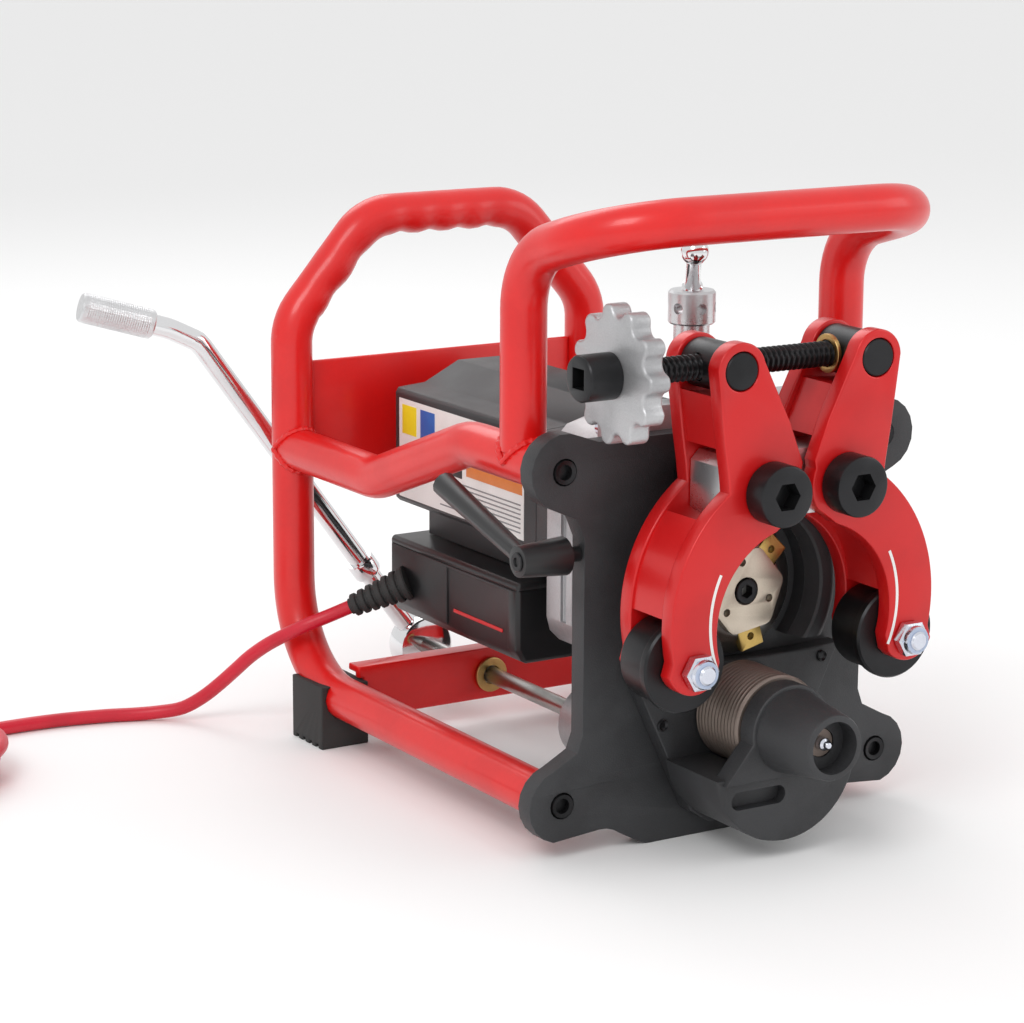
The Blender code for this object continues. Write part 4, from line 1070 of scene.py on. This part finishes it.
    def lock_nut(self, shop: Workshop, word: str, side: int) -> None:
        """The roller's bolt, its hexagon nut and the nut's blue insert."""
        spot = at(side * self.roller[0], self.front - 0.0003, self.roller[1])
        nut = lathe(
            "nut", [(0.0105, 0.0), (0.0121, 0.0008), (0.0121, 0.0066), (0.0105, 0.0076)], spot, FORWARD, 6
        )
        collar = lathe(
            "collar", [(0.0094, 0.0070), (0.0094, 0.0090), (0.0086, 0.0105), (0.0062, 0.0105)],
            spot, FORWARD, 40,
        )
        thread = lathe("thread", [(0.0062, -0.0580), (0.0062, 0.0115), (0.0050, 0.0127)], spot, FORWARD, 40)
        steel = merged(f"{word}_roller_nut", [nut, collar, thread])
        shop.fit(steel, "zinc", f"{word}_arm", f"{word}_roller_bolt")
        insert = lathe(
            f"{word}_nut_insert", [(0.0085, 0.0100), (0.0085, 0.0107), (0.0064, 0.0107)], spot, FORWARD, 40
        )
        shop.fit(insert, "nylon_blue", f"{word}_arm")

    def screw(self, shop: Workshop) -> None:
        """The clamp screw: its thread, and the hub with the square drive."""
        start = self.wheel_x + self.wheel_thick + 0.0008
        end = 0.0657
        rows = int((end - start) / self.pitch * 8)
        root = self.screw_radius - 0.0019
        profile = [(self.screw_radius, start + (end - start) * i / rows) for i in range(rows + 1)]

        def thread(angle: float, along: float) -> float:
            phase = (along / self.pitch - angle / (2 * math.pi)) % 1.0
            tooth = min(max(2.2 * abs(2 * phase - 1) - 0.6, 0.0), 1.0)
            return (root - self.screw_radius) * (1 - tooth)

        y, z = self.middle(), self.pin[1]
        rod = lathe("rod", profile, at(0, y, z), RIGHTWARD, 28, thread)
        hub = lathe(
            "hub",
            [(0.0067, self.wheel_x + self.wheel_thick + 0.001), (0.0067, self.wheel_x),
             (0.0145, self.wheel_x), (0.0145, -0.1505), (0.0138, -0.1516), (0.0128, -0.1520)],
            at(0, y, z), RIGHTWARD, 56,
        )
        drive = cuboid("drive", at(-0.17, y - 0.0064, z - 0.0064), at(-0.134, y + 0.0064, z + 0.0064))
        piece = merged("clamp_spindle", [rod, carve(hub, drive)])
        shop.fit(piece, "black_steel", "clamp_screw", "clamp_screw")

    def wheel(self, shop: Workshop) -> None:
        """The lobed handwheel, rounded as cast."""
        lobes, outer, root = 11, 0.0435, 0.0360
        outline = []
        for step in range(lobes * 20):
            turn = 2 * math.pi * step / (lobes * 20)
            wave = math.cos(lobes * turn)
            size = root + (outer - root) * (0.5 + 0.5 * math.copysign(abs(wave) ** 0.6, wave))
            outline.append((size * math.cos(turn), size * math.sin(turn)))
        bore = ring((0, 0), 0.0072)
        disc = slab("clamp_wheel_casting", [outline, bore], 0, self.wheel_thick - 0.0006, 0.0022)
        y, z = self.middle(), self.pin[1]
        disc.data.transform(Matrix.Translation((0, PLATE_MID, 0)))
        disc.data.transform(Matrix.Rotation(-QUARTER, 4, "Z"))
        disc.data.transform(Matrix.Translation(at(self.wheel_x + 0.0003, y, z)))
        shop.fit(disc, "cast_aluminium", "clamp_screw", "clamp_handwheel")


@dataclass
class Cutter:
    """The milling head, its inserts and the spindle."""

    height: float = CUTTER_AXIS[1]
    slots: tuple[int, ...] = (45, 165, 285)

    def build(self, shop: Workshop) -> None:
        """Makes the head, hub plate, inserts and centre screw."""
        centre = at(0, 0, self.height)
        head = lathe(
            "milling_head",
            [(0.0092, 0.0006), (0.0440, 0.0006), (0.0450, 0.0016), (0.0450, 0.0056), (0.0436, 0.0072),
             (0.0318, 0.0148), (0.0300, 0.0158), (0.0092, 0.0160)],
            centre, FORWARD, 90,
        )
        pockets = []
        for angle in self.slots:
            pocket = cuboid("pocket", Vector((0.0215, -0.008, -0.0095)), Vector((0.06, 0.008, 0.0095)))
            turn = Matrix.Rotation(-math.radians(angle), 4, "Y")
            pocket.data.transform(Matrix.Translation(at(0, -0.0180, self.height)) @ turn)
            pockets.append(pocket)
        shop.fit(carve(head, *pockets), "machined_steel", "spindle", "cutter_head")
        shop.refine("cutter_hub", "nickel", "spindle", 0.0005)
        shop.refine("cutter_bolt", "black_steel", "spindle", 0.0005)
        for i, angle in enumerate(self.slots):
            insert = softened(f"cutter_insert_{i + 1}", 0.0006)
            turn = math.radians(angle)
            spot = centre + Vector((0.0335 * math.cos(turn), -0.0165, 0.0335 * math.sin(turn)))
            hole = lathe("insert_hole", [(0.0026, 0.0), (0.0026, 0.01)], spot, REARWARD, 24)
            shop.fit(carve(insert, hole), "carbide", "spindle", f"cutter_insert_{i + 1}")
        shop.dress("machined_steel", "spindle", "spindle_gear", "motor_armature")


@dataclass
class Feed:
    """The knurled roller, its housing, and the shaft with the ratchet lever."""

    height: float = 0.086
    shaft: float = 0.035
    roller_radius: float = 0.0325

    def build(self, shop: Workshop) -> None:
        """Makes the feed's visible pieces."""
        shop.fit(self.roller(), "roller_steel", "feed_roller", "feed_roller")
        shop.fit(self.housing(), "cast_iron", "frame", "roller_housing")
        shop.refine("feed_shaft", "machined_steel", "feed_shaft", 0.0004)
        shop.refine("grease_fitting", "zinc", "feed_roller", 0.0003)
        shop.dress("machined_steel", "roller_gear")
        housing = lathe(
            "bearing_sleeve",
            [(0.0068, 0.0143), (0.0280, 0.0143), (0.0280, 0.1575), (0.0275, 0.1592), (0.0260, 0.1600),
             (0.0068, 0.1600)],
            at(0, 0, self.shaft), REARWARD, 72,
        )
        shop.fit(housing, "cast_aluminium", "frame", "shaft_housing")
        self.cover_screws(shop)
        self.lever(shop)

    def roller(self) -> bpy.types.Object:
        """The feed roller, with ridges along its face."""
        rows = 60
        start, end = 0.0150, 0.0580
        face = [(self.roller_radius, start + (end - start) * i / rows) for i in range(rows + 1)]
        profile = [(0.0090, -0.0100), (0.0090, 0.0140), (0.0312, 0.0140), *face, (0.0312, 0.0590),
                   (0.0090, 0.0590), (0.0090, 0.1040)]

        def ridges(angle: float, along: float) -> float:
            if not start < along < end:
                return 0.0
            return 0.00035 * (math.cos(2 * math.pi * (along - start) / 0.0018) - 1)

        return lathe("knurled_roller", profile, at(0, 0, self.height), FORWARD, 96, ridges)

    def housing(self) -> bpy.types.Object:
        """The gear cover with its round foot, and the cone of the roller's bearing."""
        cover = [(-0.082, 0.120), (-0.060, 0.1185), (0.060, 0.1185), (0.082, 0.120), (0.035, 0.022),
                 (0.020, 0.012), (-0.020, 0.012), (-0.035, 0.022)]
        foot = arc((0, 0.067), 0.055, 188, 352, 48)
        face = arc((0, self.height), 0.0300, -10, 190, 40) + [(-0.050, 0.056), (0.050, 0.056)]
        ends = [(0.005, 90, 270, -0.037), (0.005, 270, 450, -0.007)]
        slot = [p for r, start, end, x in ends for p in arc((x, 0.044), r + 0.001, start, end, 12)]
        cone = lathe(
            "cone",
            [(0.0200, 0.060), (0.0285, 0.0680), (0.0250, 0.0900), (0.0215, 0.1172), (0.0208, 0.1186),
             (0.0198, 0.1190)],
            at(0, 0, self.height), FORWARD, 72,
        )
        body = carve(
            slab("cover", [cover], -0.0135, -0.0003, 0.0012),
            slab("foot", [foot], -0.0700, -0.0120, 0.0016),
            slab("face", [face], -0.0740, -0.0585, 0.0012),
            cone,
            join=True,
        )
        rooms = [(0.0339, -0.0600, -0.0130, self.height), (0.0317, -0.0115, 0.01, self.height),
                 (0.0217, -0.0117, 0.01, self.shaft), (0.0068, -0.033, 0.01, self.shaft),
                 (0.0094, -0.130, 0.01, self.height), (0.0170, -0.130, -0.1050, self.height)]
        cutters = [
            lathe("room", [(r, -back), (r, -front)], at(0, 0, z), FORWARD, 64) for r, front, back, z in rooms
        ]
        made = carve(body, *cutters, slab("slot", [slot], -0.09, -0.062))
        made.name = "gear_cover"
        return made

    def cover_screws(self, shop: Workshop) -> None:
        """Small socket screws in the corners of the gear cover."""
        for word, side in SIDES:
            for row, (x, z) in (("low", (0.058, 0.083)), ("high", (0.068, 0.112))):
                screw = lathe(
                    f"{word}_{row}_cover_screw",
                    [(0.0020, 0.0138), (0.0034, 0.0150), (0.0040, 0.0145), (0.0040, 0.0130)],
                    at(side * x, 0, z), FORWARD, 24,
                )
                shop.fit(screw, "black_steel", "frame")

    def lever(self, shop: Workshop) -> None:
        """The chromed ratchet lever: head, bar, bent neck and grip."""
        y = 0.400
        knee, neck, end = at(-0.183, y, 0.283), at(-0.204, y + 0.004, 0.2935), at(-0.266, y + 0.018, 0.312)
        hub = at(0, y, self.shaft)
        onward = (end - neck).normalized()
        start = hub + (knee - hub).normalized() * 0.017
        path = evenly(bent([(start, 0), (knee, 0.012), (neck, 0.012), (neck + onward * 0.012, 0)]), 0.005)
        bar = sweep("bar", path, 0.0077)
        face = both_ends([(0.0066, -0.011), (0.0200, -0.011), (0.0215, -0.0102), (0.0220, -0.009)])
        head = lathe("head", face, hub, REARWARD, 64)
        collar = lathe("collar", [(0.0100, 0.0), (0.0108, 0.002), (0.0108, 0.012), (0.0100, 0.014)],
                       hub + (knee - hub).normalized() * 0.075, knee - hub, 48)
        shop.fit(merged("ratchet_bar", [bar, head, collar]), "chrome", "ratchet_lever", "ratchet_lever")
        gap, rows = 0.0123, 150
        length = (end - neck).length - gap

        def knurl(angle: float, along: float) -> float:
            if not 0.004 < along < length - 0.004:
                return 0.0
            return 0.00025 * math.cos(along * 1900 + angle * 16) * math.cos(along * 1900 - angle * 16)

        sleeve = [(0.0106, 0.0012 + (length - 0.0024) * i / rows) for i in range(rows + 1)]
        profile = [(0.0095, 0.0), *sleeve, (0.0095, length)]
        grip = lathe("ratchet_grip", profile, neck + onward * gap, onward, 96, knurl)
        shop.fit(grip, "grip_chrome", "ratchet_lever", "lever_grip")


@dataclass
class MotorUnit:
    """The gear case, the hood with its labels, the switch box and the screws."""

    def build(self, shop: Workshop) -> None:
        """Finishes the motor unit."""
        shop.fit(self.case(), "cast_aluminium", "motor_unit", "gear_case")
        shop.fit(self.hood(), "hood_plastic", "motor_unit", "motor_hood")
        shop.fit(self.box(), "box_plastic", "motor_unit", "switch_box")
        shop.refine("power_switch", "box_plastic", "power_switch", 0.0006)
        shop.refine("lock_lever", "box_plastic", "lock_lever", 0.0012)
        cap = lathe(
            "lock_cap_screw",
            [(0.0062, -0.001), (0.0062, 0.0008), (0.0056, 0.0014), (0.0030, 0.0014), (0.0026, 0.0004)],
            at(-0.155, 0.007, 0.198), Vector((-1, 0, 0)), 32,
        )
        shop.fit(cap, "black_steel", "lock_lever")
        self.labels(shop)
        self.case_screws(shop)
        self.depth(shop)

    @staticmethod
    def case() -> bpy.types.Object:
        """The gear case, with grooves down its sides and along its top."""
        grooves = [
            cuboid("groove", at(x - 0.002, y, 0.128), at(x + 0.002, y + 0.007, 0.245), 0.0008)
            for x in (-0.0654, 0.0654) for y in (0.048, 0.062, 0.076, 0.090)
        ]
        top = [cuboid("groove", at(x, 0.052, 0.2605), at(x + 0.012, 0.108, 0.2640), 0.0008)
               for x in (-0.040, -0.020, 0.008, 0.028)]
        return carve(softened("gear_case", 0.0014), *grooves, *top)

    @staticmethod
    def hood() -> bpy.types.Object:
        """The motor's hood, with vents behind and on its right, and a seam."""
        slots = [cuboid("vent", at(x - 0.0022, 0.322, 0.182), at(x + 0.0022, 0.34, 0.234), 0.0012)
                 for x in (0.010 * i for i in range(-4, 5))]
        slots += [cuboid("vent", at(0.0595, y, 0.186), at(0.07, y + 0.0045, 0.232), 0.0012)
                  for y in (0.262 + 0.009 * i for i in range(5))]
        seam = cuboid("seam", at(-0.09, 0.1342, 0.16), at(0.09, 0.1350, 0.29))
        core = cuboid("core", at(-0.0612, 0.12, 0.1676), at(0.0612, 0.15, 0.2442))
        crown = cuboid("crown", at(-0.0352, 0.12, 0.2), at(0.0342, 0.15, 0.2652))
        return carve(softened("motor_hood", 0.0008), *slots, carve(seam, core, crown))

    @staticmethod
    def box() -> bpy.types.Object:
        """The switch box, with a seam under its lid and screws' counterbores below."""
        y0, y1 = 0.137, 0.313
        ring_cut = carve(
            cuboid("lid_seam", at(-0.09, y0 - 0.01, 0.1402), at(0.06, y1 + 0.01, 0.1410)),
            cuboid("lid_core", at(-0.0742, y0 + 0.0008, 0.13), at(0.0442, y1 - 0.0008, 0.15)),
        )
        wells = [lathe("well", [(0.0042, -0.01), (0.0042, 0.003)], at(x, y, 0.089), UPWARD, 24)
                 for x in (-0.058, 0.028) for y in (0.152, 0.298)]
        return carve(softened("switch_box", 0.0010), ring_cut, *wells)

    def labels(self, shop: Workshop) -> None:
        """Plain stickers on the hood's left wall, and the red line on the switch box."""
        stickers = (
            ("side_label", "label_white", 0.0, (0.150, 0.172), (0.321, 0.244)),
            ("orange_patch", "label_orange", 0.0003, (0.152, 0.203), (0.226, 0.213)),
            ("yellow_patch", "label_yellow", 0.0003, (0.296, 0.219), (0.316, 0.240)),
            ("blue_patch", "label_blue", 0.0003, (0.270, 0.219), (0.290, 0.240)),
            ("dark_patch", "box_plastic", 0.0003, (0.232, 0.200), (0.262, 0.214)),
        )
        for name, finish, proud, (y0, z0), (y1, z1) in stickers:
            sticker = cuboid(name, at(-0.0624 - proud, y0, z0), at(-0.0618, y1, z1), 0.0001)
            shop.fit(sticker, finish, "motor_unit")
        for i in range(7):
            z = 0.1955 - 0.0032 * i
            end = at(-0.0618, 0.262 - 0.006 * (i % 3), z + 0.0009)
            rule = cuboid(f"label_rule_{i + 1}", at(-0.0627, 0.154, z), end)
            shop.fit(rule, "label_grey", "motor_unit")
        badge = cuboid("box_badge", at(-0.0740, 0.158, 0.1075), at(-0.0733, 0.224, 0.1100), 0.0002)
        shop.fit(badge, "label_red", "motor_unit")

    def case_screws(self, shop: Workshop) -> None:
        """Socket screws down the left and right edges of the gear case."""
        for word, side in SIDES:
            for i, z in enumerate((0.136, 0.180, 0.270)):
                screw = lathe(
                    f"{word}_case_screw_{i + 1}",
                    [(0.0034, -0.002), (0.0055, -0.002), (0.0055, 0.004), (0.0048, 0.0048), (0.0025, 0.0048)],
                    at(side * 0.072, 0.036, z), REARWARD, 28,
                )
                shop.fit(screw, "zinc", "motor_unit")

    def depth(self, shop: Workshop) -> None:
        """The depth screw's cross-drilled hub, and the ball lever."""
        y = 0.045
        hub = lathe(
            "depth_hub",
            [(0.0050, 0.2150), (0.0050, 0.2880), (0.0062, 0.2890), (0.0062, 0.3003), (0.0118, 0.3003),
             (0.0118, 0.3310), (0.0142, 0.3310), (0.0155, 0.3322), (0.0155, 0.3515), (0.0142, 0.3530)],
            at(0, y, 0), UPWARD, 64,
        )
        drills = [
            lathe("drill", [(0.0036, 0.010), (0.0036, 0.03)], at(0, y, 0.342),
                  Vector((math.cos(math.radians(a)), math.sin(math.radians(a)), 0)), 24)
            for a in range(20, 380, 60)
        ]
        shop.fit(carve(hub, *drills), "aluminium", "depth_screw", "depth_screw")
        foot, end = at(0, y, 0.3533), at(-0.013, 0.024, 0.381)
        way = end - foot
        reach, size = way.length, 0.009
        turns = [math.radians(a) for a in range(35, 176, 10)]
        ball = [(size * math.sin(turn), reach - size * math.cos(turn)) for turn in turns]
        rod = [(0.0068, 0.0012), (0.0068, 0.0035), (0.0056, 0.0045), (0.0048, 0.010),
               (0.0048, reach - size * 0.9)]
        lever = lathe("depth_ball_lever", [*rod, *ball], foot, way, 48)
        shop.fit(lever, "chrome", "depth_screw", "depth_lever")


@dataclass
class Studio:
    """The camera, the pale floor and soft light."""

    place: Vector = field(default_factory=lambda: Vector((-1.1403, -1.5999, 0.6465)))
    azimuth: float = -31.5145
    elevation: float = -12.4915
    roll: float = 0.2718
    lens: float = 109.06
    sky: float = 0.88

    def camera(self) -> None:
        """Sets the camera."""
        data = bpy.data.cameras.new("studio_camera")
        data.lens = self.lens
        data.sensor_width = 36.0
        data.clip_end = 50.0
        made = new_object("studio_camera", data)
        turn = (
            Matrix.Rotation(math.radians(self.azimuth), 4, "Z")
            @ Matrix.Rotation(QUARTER + math.radians(self.elevation), 4, "X")
            @ Matrix.Rotation(math.radians(self.roll), 4, "Z")
        )
        made.matrix_world = Matrix.Translation(self.place) @ turn
        bpy.context.scene.camera = made

    def build(self) -> None:
        """Makes the floor and the lights."""
        shape = bmesh.new()
        bmesh.ops.create_grid(shape, x_segments=1, y_segments=1, size=30)
        floor = from_bmesh("studio_floor", shape)
        look = bpy.data.materials.new("studio_paper")
        look.use_nodes = True
        shader = look.node_tree.nodes["Principled BSDF"]
        shader.inputs["Base Color"].default_value = (0.93, 0.93, 0.93, 1)
        shader.inputs["Roughness"].default_value = 0.9
        shader.inputs["Specular IOR Level"].default_value = 0.1
        floor.data.materials.append(look)
        world = bpy.data.worlds.new("studio_air")
        world.use_nodes = True
        air = world.node_tree.nodes["Background"]
        air.inputs["Color"].default_value = (1.0, 1.0, 1.0, 1)
        air.inputs["Strength"].default_value = self.sky
        bpy.context.scene.world = world
        bpy.context.scene.view_settings.view_transform = "Standard"
        aim = at(0, 0.15, 0.2)
        self.softbox("key", Vector((-1.7, -1.1, 2.0)), aim, 1.1, 22)
        self.softbox("fill", Vector((1.9, -1.3, 1.1)), aim, 1.2, 7)
        self.softbox("rim", Vector((0.3, 2.0, 1.9)), aim, 1.4, 12)

    def softbox(self, name: str, place: Vector, aim: Vector, size: float, power: float) -> None:
        """A square area light that faces a point.

        Args:
            name: Its name.
            place: Where it stands.
            aim: The point it faces.
            size: Its side.
            power: Its power in watts.
        """
        data = bpy.data.lights.new(name, "AREA")
        data.size = size
        data.energy = power
        made = new_object(name, data)
        made.location = place
        made.rotation_euler = (aim - place).to_track_quat("-Z", "Y").to_euler()


def main() -> None:
    """Builds the machine's looks and the studio around it."""
    logging.basicConfig(level=logging.INFO, format="%(message)s")
    for old in list(bpy.data.objects):
        bpy.data.objects.remove(old, do_unlink=True)
    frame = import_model()
    studio = Studio()
    studio.camera()
    shop = Workshop(frame)
    PowerCord().build(shop)
    for part in (TubeFrame(), CastPlate(), Clamp(), Cutter(), Feed(), MotorUnit()):
        part.build(shop)
        log.info("built %s", type(part).__name__)
    studio.build()


if __name__ == "__main__":
    main()
